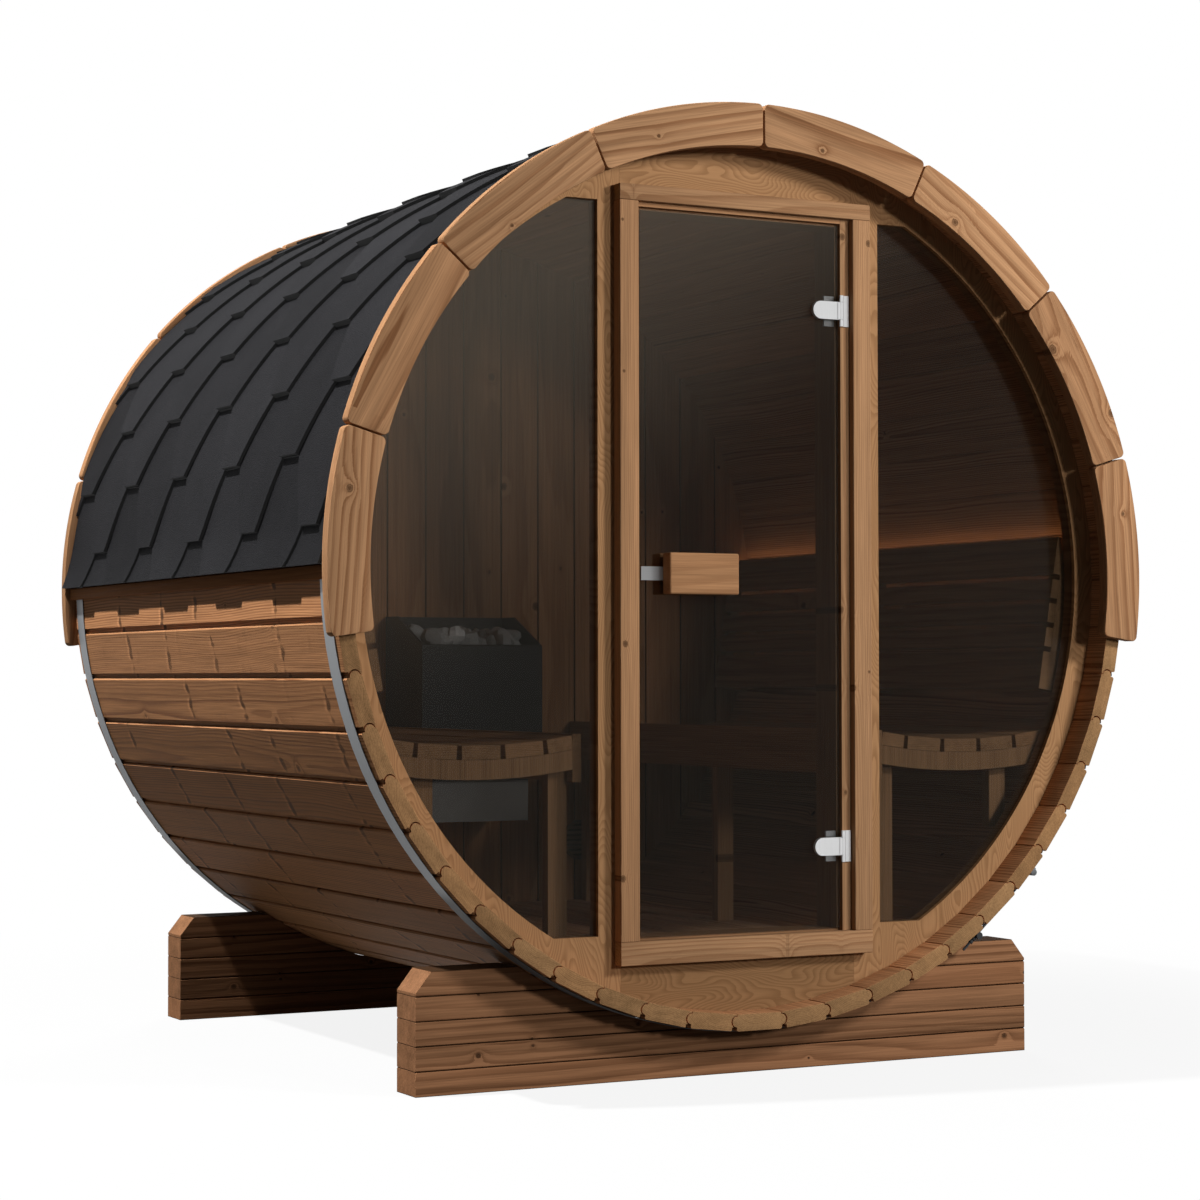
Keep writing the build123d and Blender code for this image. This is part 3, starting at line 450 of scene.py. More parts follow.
@dataclass(frozen=True)
class ShingleFinish:
    """Bitumen shingle under stone grit: charcoal with pale and dark grains, each tab its own tone."""

    name: str = "roof_shingle"
    base: Rgb = (0.0125, 0.0124, 0.0136)
    pale: Rgb = (0.05, 0.049, 0.052)

    def material(self) -> bpy.types.Material:
        """Wire the grit on Object coordinates and the tone on the tab's attribute."""
        shader = Shader(self.name)
        where = shader.place()
        tone = shader.attribute("board")
        grit = shader.noise(where, 420.0, 2.0, 0.7)
        grain = shader.node("ShaderNodeTexVoronoi", {"feature": "F1"}, {"Vector": where, "Scale": 380.0})
        patch = shader.noise(where, 9.0, 3.0, 0.6)
        colour = shader.mix(grit.step(0.52, 0.75) * 0.6, self.base, self.pale)
        colour = shader.shade(colour, tone * 0.5 + patch * 0.5 + 0.5)
        return shader.surface({"Base Color": colour, "Roughness": 0.82 + grit * 0.15,
                               "Specular IOR Level": 0.12,
                               "Normal": shader.bump(grit * 0.6 - grain, 0.0012)})


@dataclass(frozen=True)
class SteelFinish:
    """Stainless steel brushed along one axis, or satin all over."""

    name: str
    colour: Rgb = (0.62, 0.60, 0.58)
    brushed: Axis | None = None
    rough: float = 0.32
    metal: float = 1.0
    painted_shade_below: float | None = None

    def material(self) -> bpy.types.Material:
        """Wire the brushing, a little staining and painted shade that darkens the steel below a level."""
        shader = Shader(self.name)
        parts = shader.split(shader.place())
        scaled = [part * (20.0 if axis is self.brushed else 900.0) for axis, part in zip(Axis, parts)]
        brush = shader.streak(*scaled, 2.0)
        stain = shader.noise(shader.place(), 6.0, 4.0, 0.6)
        level = (brush - 0.5) * 0.2 + stain * 0.3 + 0.85
        if self.painted_shade_below is not None:
            # painted shade: below the level the steel is darkened to 0.12 of its colour
            level = level * (parts[2].step(self.painted_shade_below, self.painted_shade_below + 0.04) * 0.88 + 0.12)
        colour = shader.shade(self.colour, level)
        return shader.surface({"Base Color": colour, "Metallic": self.metal,
                               "Roughness": brush * 0.12 + stain * 0.15 + self.rough - 0.1,
                               "Normal": shader.bump(brush, 0.00008)})


@dataclass(frozen=True)
class GlassFinish:
    """Toughened glass tinted bronze-grey: a dark film that shows part of the inside, under a painted pale
    reflection that is brightest at the upper left.
    """

    name: str = "tinted_glass"
    tint: Rgb = (0.012, 0.0106, 0.0074)
    painted_reflection: Rgb = (0.15, 0.128, 0.098)
    cover: float = 0.30

    def material(self) -> bpy.types.Material:
        """Wire a thin painted reflection over the tint, densest at the upper left, and uneven dust."""
        shader = Shader(self.name)
        where = shader.place()
        x, _, z = shader.split(where)
        dust = shader.noise(where, 2.2, 3.0)
        # painted reflection: a pale veil mixed into the tint, growing towards the upper left
        painted_reflection_share = (z * 0.75 - x * 0.55).step(0.95, 1.75)
        colour = shader.shade(shader.mix(painted_reflection_share, self.tint, self.painted_reflection), dust * 0.4 + 0.8)
        material = shader.surface({"Base Color": colour, "Roughness": dust * 0.03 + 0.02,
                                   "Alpha": self.cover, "IOR": 1.5, "Specular IOR Level": 0.14})
        material.surface_render_method = "BLENDED"
        return material


@dataclass(frozen=True)
class PaintFinish:
    """Powder coat or moulded plastic: one colour with a fine orange peel and slight wear."""

    name: str
    colour: Rgb
    rough: float = 0.45
    peel: float = 500.0

    def material(self) -> bpy.types.Material:
        """Wire the peel and the wear on Object coordinates."""
        shader = Shader(self.name)
        where = shader.place()
        peel = shader.noise(where, self.peel, 2.0)
        wear = shader.noise(where, 14.0, 4.0, 0.6)
        colour = shader.shade(self.colour, wear * 0.4 + 0.8)
        return shader.surface({"Base Color": colour, "Roughness": wear * 0.2 + self.rough - 0.1,
                               "Normal": shader.bump(peel, 0.0002)})


@dataclass(frozen=True)
class StoneFinish:
    """Split olivine: grey with pale and rusty flecks, each stone its own tone."""

    name: str = "heater_stone"
    base: Rgb = (0.34, 0.335, 0.32)

    def material(self) -> bpy.types.Material:
        """Wire flecks on Object coordinates and the tone on the stone's attribute."""
        shader = Shader(self.name)
        where = shader.place()
        tone = shader.attribute("board")
        fleck = shader.noise(where, 160.0, 3.0, 0.7)
        vein = shader.noise(where, 30.0, 4.0, 0.6)
        colour = shader.mix(fleck.step(0.55, 0.8) * 0.6, self.base, (0.62, 0.60, 0.55))
        colour = shader.mix(vein.step(0.58, 0.75) * 0.5, colour, (0.20, 0.15, 0.11))
        return shader.surface({"Base Color": shader.shade(colour, tone * 0.7 + 0.65),
                               "Roughness": fleck * 0.2 + 0.7, "Normal": shader.bump(fleck + vein, 0.002)})


@dataclass(frozen=True)
class LightFinish:
    """Light strip under a frosted cover: a warm glow with faint dots of its lamps."""

    name: str = "warm_light"
    glow: Rgb = (1.0, 0.70, 0.44)
    strength: float = 3.3
    lamp_pitch: float = 0.03

    def material(self) -> bpy.types.Material:
        """Wire the dots along Y into the glow's colour."""
        shader = Shader(self.name)
        y = shader.split(shader.place())[1]
        dot = ((y / self.lamp_pitch).math("FRACT") - 0.5).math("ABSOLUTE").step(0.5, 0.0)
        colour = shader.mix(dot * 0.4, self.glow, (1.0, 0.72, 0.42))
        return shader.surface({"Base Color": (0.8, 0.7, 0.55, 1.0), "Roughness": 0.5,
                               "Emission Color": colour, "Emission Strength": self.strength})


def stand(name: str, data: bpy.types.ID) -> bpy.types.Object:
    """Put a mesh, lamp or camera into the scene as an object.

    Args:
        name: the object's name.
        data: what it shows.

    Returns:
        The object.
    """
    made = bpy.data.objects.new(name, data)
    bpy.context.scene.collection.objects.link(made)
    return made


class Sheet:
    """Surfaces of one piece, gathered as arrays until its mesh is made."""

    def __init__(self, name: str) -> None:
        """Start an empty piece of that name."""
        self.name = name
        self.count = 0
        self.points: list[np.ndarray] = []
        self.grain: list[np.ndarray] = []
        self.board: list[np.ndarray] = []
        self.faces: list[Sequence[int]] = []
        self.slots: list[int] = []

    def add(self, points: np.ndarray, faces: Sequence[Sequence[int]], slots: Sequence[int],
            grain: np.ndarray, board: np.ndarray | float) -> None:
        """Add one closed surface.

        Args:
            points: its points, in rows of three.
            faces: each face as numbers of those points.
            slots: each face's material slot.
            grain: each point's place along, across and into the board.
            board: the board's number, or one for each point.
        """
        self.points.append(points)
        self.grain.append(grain)
        self.board.append(np.broadcast_to(np.asarray(board, float), (len(points),)))
        self.faces += [[corner + self.count for corner in face] for face in faces]
        self.slots += list(slots)
        self.count += len(points)

    def piece(self, materials: Sequence[bpy.types.Material], slot: str, *nodes: str,
              body: Body = Body.SAUNA, sharp: float = 32.0) -> bpy.types.Object:
        """Make the mesh and set it in the frame.

        Args:
            materials: the materials of the slots.
            slot: the name of its material slot; not used.
            nodes: the CAD nodes that it stands for.
            body: the body that it rides on.
            sharp: the angle past which an edge is crisp, in degrees.

        Returns:
            The finished object.
        """
        mesh = bpy.data.meshes.new(self.name)
        mesh.from_pydata(np.concatenate(self.points).tolist(), [], self.faces)
        for material in materials:
            mesh.materials.append(material)
        mesh.polygons.foreach_set("material_index", np.array(self.slots, np.int32))
        mesh.polygons.foreach_set("use_smooth", np.ones(len(self.slots), bool))
        grain = mesh.attributes.new("grain", "FLOAT_VECTOR", "POINT")
        grain.data.foreach_set("vector", np.concatenate(self.grain).astype(np.float32).ravel())
        board = mesh.attributes.new("board", "FLOAT", "POINT")
        board.data.foreach_set("value", np.concatenate(self.board).astype(np.float32))
        mesh.set_sharp_from_angle(angle=math.radians(sharp))
        mesh.update()
        made = stand(self.name, mesh)
        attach(made, body.value)
        if nodes:
            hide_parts(*nodes)
        LOG.info("%s: %d faces for %s", self.name, len(self.slots), ", ".join(nodes) or "no node")
        return made


def inset(outline: np.ndarray, amount: float) -> np.ndarray:
    """Shrink a closed outline: each point moves in along the mean of its two edges' inner normals.

    Args:
        outline: points in order, anticlockwise.
        amount: how far the edges move in.

    Returns:
        The smaller outline, point for point.
    """
    ahead = np.roll(outline, -1, 0) - outline
    ahead /= np.maximum(np.linalg.norm(ahead, axis=1, keepdims=True), 1e-9)
    behind = np.roll(ahead, 1, 0)
    normal = np.stack([-(ahead + behind)[:, 1], (ahead + behind)[:, 0]], 1)
    square = np.maximum((normal ** 2).sum(1, keepdims=True), 1.0)
    return outline + normal * (2.0 * amount / square)


def anticlockwise(outline: np.ndarray) -> np.ndarray:
    """The same outline, turned round if its area is negative."""
    x, y = outline.T
    area = (x * np.roll(y, -1) - y * np.roll(x, -1)).sum()
    return outline if area > 0 else outline[::-1]


def rounded_rectangle(width: float, height: float, radius: float, steps: int = 3) -> np.ndarray:
    """A rectangle about the origin with quarter circles at its corners.

    Args:
        width: its size along the first axis.
        height: its size along the second.
        radius: of the corners.
        steps: spans in a quarter circle.

    Returns:
        The outline, anticlockwise.
    """
    turn = np.linspace(0.0, math.pi / 2, steps + 1)
    starts = np.arange(4) * math.pi / 2
    angle = (starts[:, None] + turn).ravel()
    corner = np.repeat(np.array([[1, 1], [-1, 1], [-1, -1], [1, -1]]), steps + 1, 0)
    ways = np.stack([np.cos(angle), np.sin(angle)], 1)
    return corner * (np.array([width, height]) / 2 - radius) + radius * ways


def tube_faces(rings: int, around: int) -> tuple[list, list]:
    """Faces of a profile carried through rings, closed by a cap at each end in slot 1.

    Args:
        rings: how many copies of the profile.
        around: points in the profile.

    Returns:
        The faces and their slots.
    """
    grid = np.arange(rings * around).reshape(rings, around)
    after = np.roll(grid, -1, 1)
    sides = np.stack([grid[:-1], after[:-1], after[1:], grid[1:]], -1).reshape(-1, 4)
    faces = sides.tolist() + [grid[0][::-1].tolist(), grid[-1].tolist()]
    return faces, [0] * len(sides) + [1, 1]


def softened(outline: np.ndarray, start: float, stop: float, edge: float) -> tuple[np.ndarray, np.ndarray]:
    """Carry an outline from start to stop and round both end edges with a small inset.

    Args:
        outline: the profile, anticlockwise.
        start: the first station.
        stop: the last station.
        edge: the rounding.

    Returns:
        The profile at each station, and the stations.
    """
    share = np.array([1.0, 0.3, 0.0])
    stations = np.concatenate([start + edge * (1 - share), stop - edge * (1 - share[::-1])])
    stations[[1, -2]] = start + edge * 0.3, stop - edge * 0.3
    insets = np.concatenate([share, share[::-1]]) * edge
    return np.stack([inset(outline, amount) for amount in insets]), stations


class Planks(Sheet):
    """Boards of one piece, each a profile carried along its own axis."""

    def carry(self, profiles: np.ndarray, stations: np.ndarray, frame_of: np.ndarray,
              origin: Sequence[float], board: float, along: int = 2) -> None:
        """Add a board: profile point (u, v) at station w goes to origin + u U + v V + w W.

        Args:
            profiles: the profile at each station.
            stations: places along W.
            frame_of: rows U, V and W.
            origin: where u, v and w are 0.
            board: the board's number, from 0 to 1.
            along: which of u, v and w the grain runs along.
        """
        rings, around = profiles.shape[:2]
        rise = np.broadcast_to(stations[:, None, None], (rings, around, 1))
        local = np.concatenate([profiles, rise], -1).reshape(-1, 3)
        points = local @ np.asarray(frame_of, float) + np.asarray(origin, float)
        faces, slots = tube_faces(rings, around)
        if np.linalg.det(frame_of) < 0:
            faces = [face[::-1] for face in faces]
        order = [along, *[axis for axis in range(3) if axis != along]]
        if along != 2:
            slots = [0] * len(slots)
        self.add(points, faces, slots, local[:, order], board)

    def fill(self, low: Sequence[float], high: Sequence[float], along: Axis, board: float,
             edge: float = 0.002) -> None:
        """Add a straight board that fills a box, with rounded arrises.

        Args:
            low: the box's lowest corner.
            high: its highest corner.
            along: the direction of the board.
            board: the board's number.
            edge: radius of the arrises.
        """
        low, high = np.asarray(low, float), np.asarray(high, float)
        size, centre = high - low, (high + low) / 2
        w = along.value
        u, v = (w + 1) % 3, (w + 2) % 3
        outline = rounded_rectangle(size[u], size[v], edge)
        profiles, stations = softened(outline, -size[w] / 2, size[w] / 2, edge)
        self.carry(profiles, stations, np.eye(3)[[u, v, w]], centre, board)


def dress(material: bpy.types.Material, *nodes: str) -> None:
    """Give CAD nodes a material in all their slots.

    Args:
        material: the finish.
        nodes: the nodes' names.
    """
    for name in nodes:
        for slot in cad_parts[name].material_slots:
            slot.material = material
        LOG.info("%s: dressed with %s", name, material.name)


def depth_of(node: str) -> tuple[float, float]:
    """Where a CAD node starts and ends along Y."""
    low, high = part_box(node)
    return low.y, high.y


@dataclass
class Barrel:
    """Staves with beads and coves, steel bands, eaves battens and the fascia boards of both ends."""

    draw: np.random.Generator
    radius: float = 1.0
    length: float = field(default_factory=lambda: 2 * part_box("left_staves")[1].y)
    axis: float = 1.102
    staves: int = 54
    thickness: float = 0.037
    bead: float = 0.0125
    shoulder: float = 0.0045
    chamfer: float = 0.0032
    groove: float = 0.0112
    groove_depth: float = 0.0080
    inner_edge: float = 0.0012
    gap: float = 0.0016
    croze: float = 0.010
    wall: tuple[float, float] = field(default_factory=lambda: depth_of("rear_wall"))
    end_edge: float = 0.0005
    unevenness: float = 0.0005
    fascia_radii: tuple[float, float] = (0.931, 1.026)
    fascia_boards: int = 8
    fascia_pitch: float = math.radians(24.6)
    fascia_gap: float = 0.004
    fascia_corner: float = 0.012
    fascia_depth: tuple[float, float] = field(default_factory=lambda: depth_of("rear_fascia"))
    fascia_edge: float = 0.0025
    batten_recess: float = 0.008
    batten_wood: WoodFinish = WoodFinish(
        "batten_wood", (0.27, 0.116, 0.047), (0.17, 0.068, 0.025), knots=0.1)
    long_wood: WoodFinish = WoodFinish(
        "stave_wood", (0.48, 0.238, 0.112), (0.20, 0.080, 0.032), ring=0.0042, ring_depth=0.95, spread=0.42,
        knots=0.10, knot_cell=(0.30, 0.09), spikes=0.9, rough=0.5, sway=0.035, drift=0.3)
    end_wood: WoodFinish = WoodFinish(
        "stave_end_grain", (0.33, 0.187, 0.086), (0.16, 0.082, 0.035), ring=0.0036, ring_depth=0.7,
        spread=0.4, knots=0.0, rough=0.75)
    fascia_wood: WoodFinish = WoodFinish(
        "fascia_wood", (0.43, 0.235, 0.119), (0.20, 0.085, 0.036), ring=0.0039, ring_depth=0.85, spread=0.2,
        knots=0.25, knot_cell=(0.22, 0.085), sway=0.02, drift=0.34, pith=(0.02, 0.10))
    # the bands carry painted shade below 0.40 m
    band_steel: SteelFinish = SteelFinish("band_steel", (0.27, 0.28, 0.29), None, 0.55, 0.4, 0.40)

    def stave_profile(self, beads: tuple[bool, bool]) -> np.ndarray:
        """Outline of the stave at the top, as (across, radius).

        The side line lies half a pitch from the middle. On it a half circle stands out as a bead or goes in
        as a cove. The face has a chamfer above a bead and a square groove beside a cove.

        Args:
            beads: whether the left and the right edge have a bead; the other kind is a cove.

        Returns:
            The outline, anticlockwise.
        """
        half = math.pi / self.staves
        slope = math.tan(half)
        outer = self.radius * math.cos(half)
        inner = outer - self.thickness
        middle = (inner + outer - self.shoulder) / 2
        turn = np.linspace(-math.pi / 2, math.pi / 2, 13)[:, None]
        line = np.array([math.sin(half), math.cos(half)])
        away = np.array([math.cos(half), -math.sin(half)])
        edge, floor = self.inner_edge, outer - self.groove_depth
        halves = []
        for bead in beads:
            sign = 1.0 if bead else -1.0
            reach = self.bead - sign * self.gap / 2
            ways = np.sin(turn) * line + sign * np.cos(turn) * away
            arc = np.array([middle * slope, middle]) + reach * ways
            ends = [[inner * slope - edge, inner], [(inner + edge) * slope, inner + edge]]
            if bead:
                low = outer - self.chamfer
                tops = [[low * slope, low], [outer * slope - self.chamfer, outer]]
            else:
                wall = outer * slope - self.groove
                tops = [[floor * slope, floor], [wall, floor], [wall, outer - edge], [wall - edge, outer]]
            halves.append(np.concatenate([ends, arc, tops]) - np.array([self.gap / 2, 0.0]))
        left = halves[0][::-1] * np.array([-1.0, 1.0])
        return anticlockwise(np.concatenate([halves[1], left]))

    def stave(self, sheet: Planks, index: int) -> None:
        """Add one stave, turned about the barrel's axis; the crozes raise the inner points at the walls.

        Args:
            sheet: the piece it belongs to.
            index: its number from the top, clockwise from the front.
        """
        half_round = self.staves // 2
        if index in (0, half_round):
            beads = (index != 0, index != 0)
        else:
            beads = (index < half_round, index > half_round)
        outline = self.stave_profile(beads)
        outline = outline - np.array([0.0, self.draw.uniform(0.0, self.unevenness)])
        profiles, stations = softened(outline, -self.length / 2, self.length / 2, self.end_edge)
        near, far = self.wall
        gap = self.gap / 2
        grooves = np.array([-far - gap, -far - gap, -near + gap, -near + gap, near - gap, near - gap,
                            far + gap, far + gap])
        cut = outline.copy()
        cut[:, 1] = np.maximum(cut[:, 1], outline[:, 1].min() + self.croze)
        raised = np.array([0, 1, 1, 0, 0, 1, 1, 0], bool)
        middle = np.where(raised[:, None, None], cut, outline)
        profiles = np.concatenate([profiles[:3], middle, profiles[3:]])
        stations = np.concatenate([stations[:3], grooves, stations[3:]])
        turn = 2 * math.pi * index / self.staves
        self._carry_turned(sheet, profiles, stations, turn, self.draw.uniform(), 2)

    def _carry_turned(self, sheet: Planks, profiles: np.ndarray, stations: np.ndarray, turn: float,
                      board: float, along: int) -> None:
        """Carry a profile turned about the barrel's axis, its grain counted from the board's own middle.

        Args:
            sheet: the piece.
            profiles: outlines as (across, radius).
            stations: places along the barrel.
            turn: the angle from the top, clockwise from the front.
            board: the board's number.
            along: which of across, radius and length the grain runs along.
        """
        lift = profiles[..., 1].mean()
        axes = np.array([(math.cos(turn), 0.0, -math.sin(turn)), (math.sin(turn), 0.0, math.cos(turn)),
                         (0.0, 1.0, 0.0)])
        origin = np.array([0.0, 0.0, self.axis]) + lift * axes[1]
        sheet.carry(profiles - np.array([0.0, lift]), stations, axes, origin, board, along)

    def build_staves(self) -> None:
        """Make the four groups of staves."""
        long_wood = self.long_wood.material(BoardGrain())
        end_wood = self.end_wood.material(BoardGrain())
        groups = {"roof": range(-6, 7), "right": range(7, 21),
                  "floor": range(21, 34), "left": range(34, 48)}
        for group, numbers in groups.items():
            sheet = Planks(f"{group}_stave_boards")
            for number in numbers:
                self.stave(sheet, number % self.staves)
            sheet.piece((long_wood, end_wood), "stave_wood", f"{group}_staves")

    def build_battens(self) -> None:
        """Make the eaves battens, each set back so that the shingles' edge hangs over it."""
        wood = self.batten_wood.material(BoardGrain())
        for side in Side:
            name = f"{side.name.lower()}_eaves_batten"
            low, high = (np.array(corner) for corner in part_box(name))
            outer = low if side is Side.LEFT else high
            outer[0] -= side.value * self.batten_recess
            sheet = Planks(f"{name}_board")
            sheet.fill(low, high, Axis.Y, side.value / 4)
            sheet.piece((wood, wood), "fascia_wood", name)

    def fascia_outline(self) -> np.ndarray:
        """Outline of a fascia board at the top, as (across, radius).

        Two arcs about the axis, two sides parallel to the seams, and round corners. A corner's centre is
        where the side line and the arc, both moved in by the corner's radius, cross.

        Returns:
            The outline, anticlockwise.
        """
        half = self.fascia_pitch / 2
        line = np.array([math.sin(half), math.cos(half)])
        away = np.array([math.cos(half), -math.sin(half)])
        inset_side = self.fascia_gap / 2 + self.fascia_corner
        parts = []
        for radius, sign in ((self.fascia_radii[1], 1.0), (self.fascia_radii[0], -1.0)):
            reach = radius - sign * self.fascia_corner
            centre = -inset_side * away + math.sqrt(reach ** 2 - inset_side ** 2) * line
            out = sign * centre / np.linalg.norm(centre)
            share = np.linspace(0.0, 1.0, 7)[:, None]
            ways = (1 - share) * out + share * away
            ways /= np.linalg.norm(ways, axis=1, keepdims=True)
            spread = np.linspace(0.0, math.atan2(centre[0], centre[1]), 13)[:-1]
            arc = radius * np.stack([np.sin(spread), np.cos(spread)], 1)
            parts.append(np.concatenate([arc, centre + self.fascia_corner * ways]))
        right = np.concatenate([parts[0], parts[1][::-1]])
        left = right[::-1] * np.array([-1.0, 1.0])
        return anticlockwise(np.concatenate([right, left[1:-1]]))

    def build_fascia(self) -> None:
        """Make the fascia boards of both ends, each cut from a straight board along its chord."""
        wood = self.fascia_wood.material(BoardGrain())
        outline = self.fascia_outline()
        near, far = self.fascia_depth
        for end, name in ((-1, "front"), (1, "rear")):
            sheet = Planks(f"{name}_fascia_boards")
            profiles, stations = softened(outline, *sorted((end * near, end * far)), self.fascia_edge)
            for index in range(self.fascia_boards):
                turn = (index - (self.fascia_boards - 1) / 2) * self.fascia_pitch
                self._carry_turned(sheet, profiles, stations, turn, self.draw.uniform(), 0)
            sheet.piece((wood, wood), "fascia_wood", f"{name}_fascia")

    def dress(self) -> None:
        """Finish the bands."""
        dress(self.band_steel.material(), "front_band", "rear_band")


@dataclass
class Roof:
    """Hexagonal shingles in courses from the eaves to the ridge, over the roof cover.

    A course is a sheet on the cylinder. Its lower edge runs level along a tab's bottom, climbs a slanted
    side by one course, runs level and comes down again. The sheet lifts towards its lower edge, so that it
    lies on the course below, and the lowest part sweeps out over the batten.
    """

    draw: np.random.Generator
    axis: float = 1.102
    base: float = 0.9990
    reach: float = 1.012
    ends: float = field(default_factory=lambda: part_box("roof_cover")[1].y)
    pitch: float = 0.3525
    flat: float = 0.095
    slant: float = 0.080
    exposure: float = 0.1568
    first: float = 1.506
    first_tab: float = -0.7805
    eaves: float = math.radians(89.9)
    thickness: float = 0.0074
    lift: float = 0.0160
    low_lifts: tuple[float, float] = (0.0090, 0.0135)
    eaves_fade: float = 0.2
    sweep: float = 0.0223
    sweep_run: float = 0.115
    overlap: float = 0.02
    spans: int = 7
    side_spans: int = 5
    cap_half: float = 0.12
    cap_pitch: float = 0.195
    cap_length: float = 0.24
    cap_level: float = 1.0130
    end_margin: float = 0.002
    place_error: float = 0.0008
    drop_error: float = 0.0010
    finish: ShingleFinish = ShingleFinish()
    # undersides and edges: black bitumen, made darker still as painted shade
    shaded_edge_finish: PaintFinish = PaintFinish("shingle_edge_painted_shade", (0.004, 0.004, 0.004), 0.8)

    def flare(self, arc: np.ndarray) -> np.ndarray:
        """How far the roof has swept out: the square of the share of the last run above the eaves."""
        return np.clip((arc - (self.eaves * self.reach - self.sweep_run)) / self.sweep_run, 0.0, 1.0) ** 2

    def closed(self, sheet: Sheet, arc: np.ndarray, along: np.ndarray, radius: np.ndarray, tone: np.ndarray,
               side: int) -> None:
        """Add a thick sheet: point (arc s, place y, radius r) goes to (r sin s/R, y, axis + r cos s/R).

        Args:
            sheet: the piece.
            arc: distance from the ridge round the roof, on a grid.
            along: places along the barrel, on the same grid.
            radius: the upper face's distance from the axis.
            tone: each point's tone.
            side: the sign of X.
        """
        angle = arc / self.reach
        layers = [np.stack([side * r * np.sin(angle), along, self.axis + r * np.cos(angle)], -1)
                  for r in (radius, radius - self.thickness)]
        rows, columns = arc.shape
        grid = np.arange(rows * columns).reshape(rows, columns)
        top = np.stack([grid[:-1, :-1], grid[:-1, 1:], grid[1:, 1:], grid[1:, :-1]], -1).reshape(-1, 4)
        under = top[:, ::-1] + rows * columns
        rim = np.concatenate([grid[0, :-1], grid[:-1, -1], grid[-1, :0:-1], grid[:0:-1, 0]])
        after = np.roll(rim, -1)
        edge = np.stack([rim, rim + rows * columns, after + rows * columns, after], -1)
        faces = np.concatenate([top, under, edge])
        points = np.concatenate([layer.reshape(-1, 3) for layer in layers])
        middle = points[top[0]]
        normal = np.cross(middle[1] - middle[0], middle[2] - middle[0])
        outward = middle[0] - np.array([0.0, middle[0][1], self.axis])
        if normal @ outward < 0:
            faces = faces[:, ::-1]
        self_grain = np.tile(np.stack([along, arc, 0 * arc], -1).reshape(-1, 3), (2, 1))
        # slot 1, the undersides and edges, takes the finish with painted shade
        slots = [0] * len(top) + [1] * (len(under) + len(edge))
        sheet.add(points, faces.tolist(), slots, self_grain, np.tile(tone.ravel(), 2))

    def course(self, sheet: Sheet, bottom: float, tab: float, side: int, lift: float) -> None:
        """Add one course of tabs on one side.

        Args:
            sheet: the piece.
            bottom: arc of the tabs' lower edges.
            tab: place along the barrel of one tab's middle.
            side: the sign of X.
            lift: how far the tabs' lower edges stand out.
        """
        numbers = np.arange(-8, 9)
        climb = np.linspace(0.0, 1.0, self.side_spans + 1)
        right = self.flat / 2 + self.slant * climb
        corners = np.concatenate([-right[::-1], right])
        heights = np.tile(np.concatenate([climb[::-1], climb]), len(numbers))
        places = (tab + numbers[:, None] * self.pitch + corners).ravel()
        places = places + np.repeat(self.draw.normal(0.0, self.place_error, len(numbers)), len(corners))
        tones = np.repeat(self.draw.uniform(0.0, 1.0, len(numbers)), len(corners))
        drops = np.repeat(self.draw.normal(0.0, self.drop_error, len(numbers)), len(corners))
        ends = np.array([-self.ends, self.ends])
        inside = (places > ends[0] + self.end_margin) & (places < ends[1] - self.end_margin)
        along = np.concatenate([ends[:1], places[inside], ends[1:]])
        rise = np.interp(along, places, heights)
        tone = np.interp(along, places, tones)
        lower = bottom - self.exposure * rise + np.interp(along, places, drops)
        lower = np.minimum(lower, self.eaves * self.reach)
        upper = bottom - 2 * self.exposure - self.overlap
        share = np.linspace(0.0, 1.0, self.spans + 1)
        arc = lower + (upper - lower) * share[:, None]
        part = np.clip((bottom - arc) / (2 * self.exposure + self.overlap), 0.0, 1.0)
        flare = self.flare(arc)
        proud = lift * (1.0 - part) * (1.0 - self.eaves_fade * flare)
        radius = self.base + self.thickness + proud + self.sweep * flare
        along, tone = (np.broadcast_to(row, arc.shape) for row in (along, tone))
        self.closed(sheet, arc, along, radius, tone, side)

    def starter(self, sheet: Sheet, side: int) -> None:
        """Add the straight strip under the lowest course."""
        arc, along = np.meshgrid(np.linspace(self.eaves * self.reach, self.eaves * self.reach - 0.2, 6),
                                 np.linspace(-self.ends, self.ends, 12), indexing="ij")
        radius = self.base + self.thickness + self.sweep * self.flare(arc)
        self.closed(sheet, arc, along, radius, np.full(arc.shape, 0.3), side)

    def ridge(self, sheet: Sheet) -> None:
        """Add the caps along the ridge, each a bent strip that lies on the next."""
        starts = np.arange(-self.ends, self.ends - 0.02, self.cap_pitch)
        for start in starts:
            stop = min(start + self.cap_length, self.ends)
            along, arc = np.meshgrid(np.linspace(start, stop, 3),
                                     np.linspace(-self.cap_half, self.cap_half, 13), indexing="xy")
            slope = (stop - along) / self.cap_length
            radius = self.cap_level + self.thickness / 2 + slope * self.thickness
            self.closed(sheet, arc, along, radius, np.full(arc.shape, self.draw.uniform()), 1)

    def build(self) -> None:
        """Make the shingles of both sides and the ridge."""
        finishes = self.finish.material(), self.shaded_edge_finish.material()
        roof = Sheet("roof_shingles")
        for side in Side:
            self.starter(roof, side.value)
            for number in range(-1, 9):
                bottom = self.first - number * self.exposure
                tab = self.first_tab + (number % 2) * self.pitch / 2
                lift = self.lift if number > 0 else self.low_lifts[number + 1]
                self.course(roof, bottom, tab, side.value, lift)
        self.ridge(roof)
        roof.piece(finishes, "roof_shingle", "roof_cover", sharp=25.0)


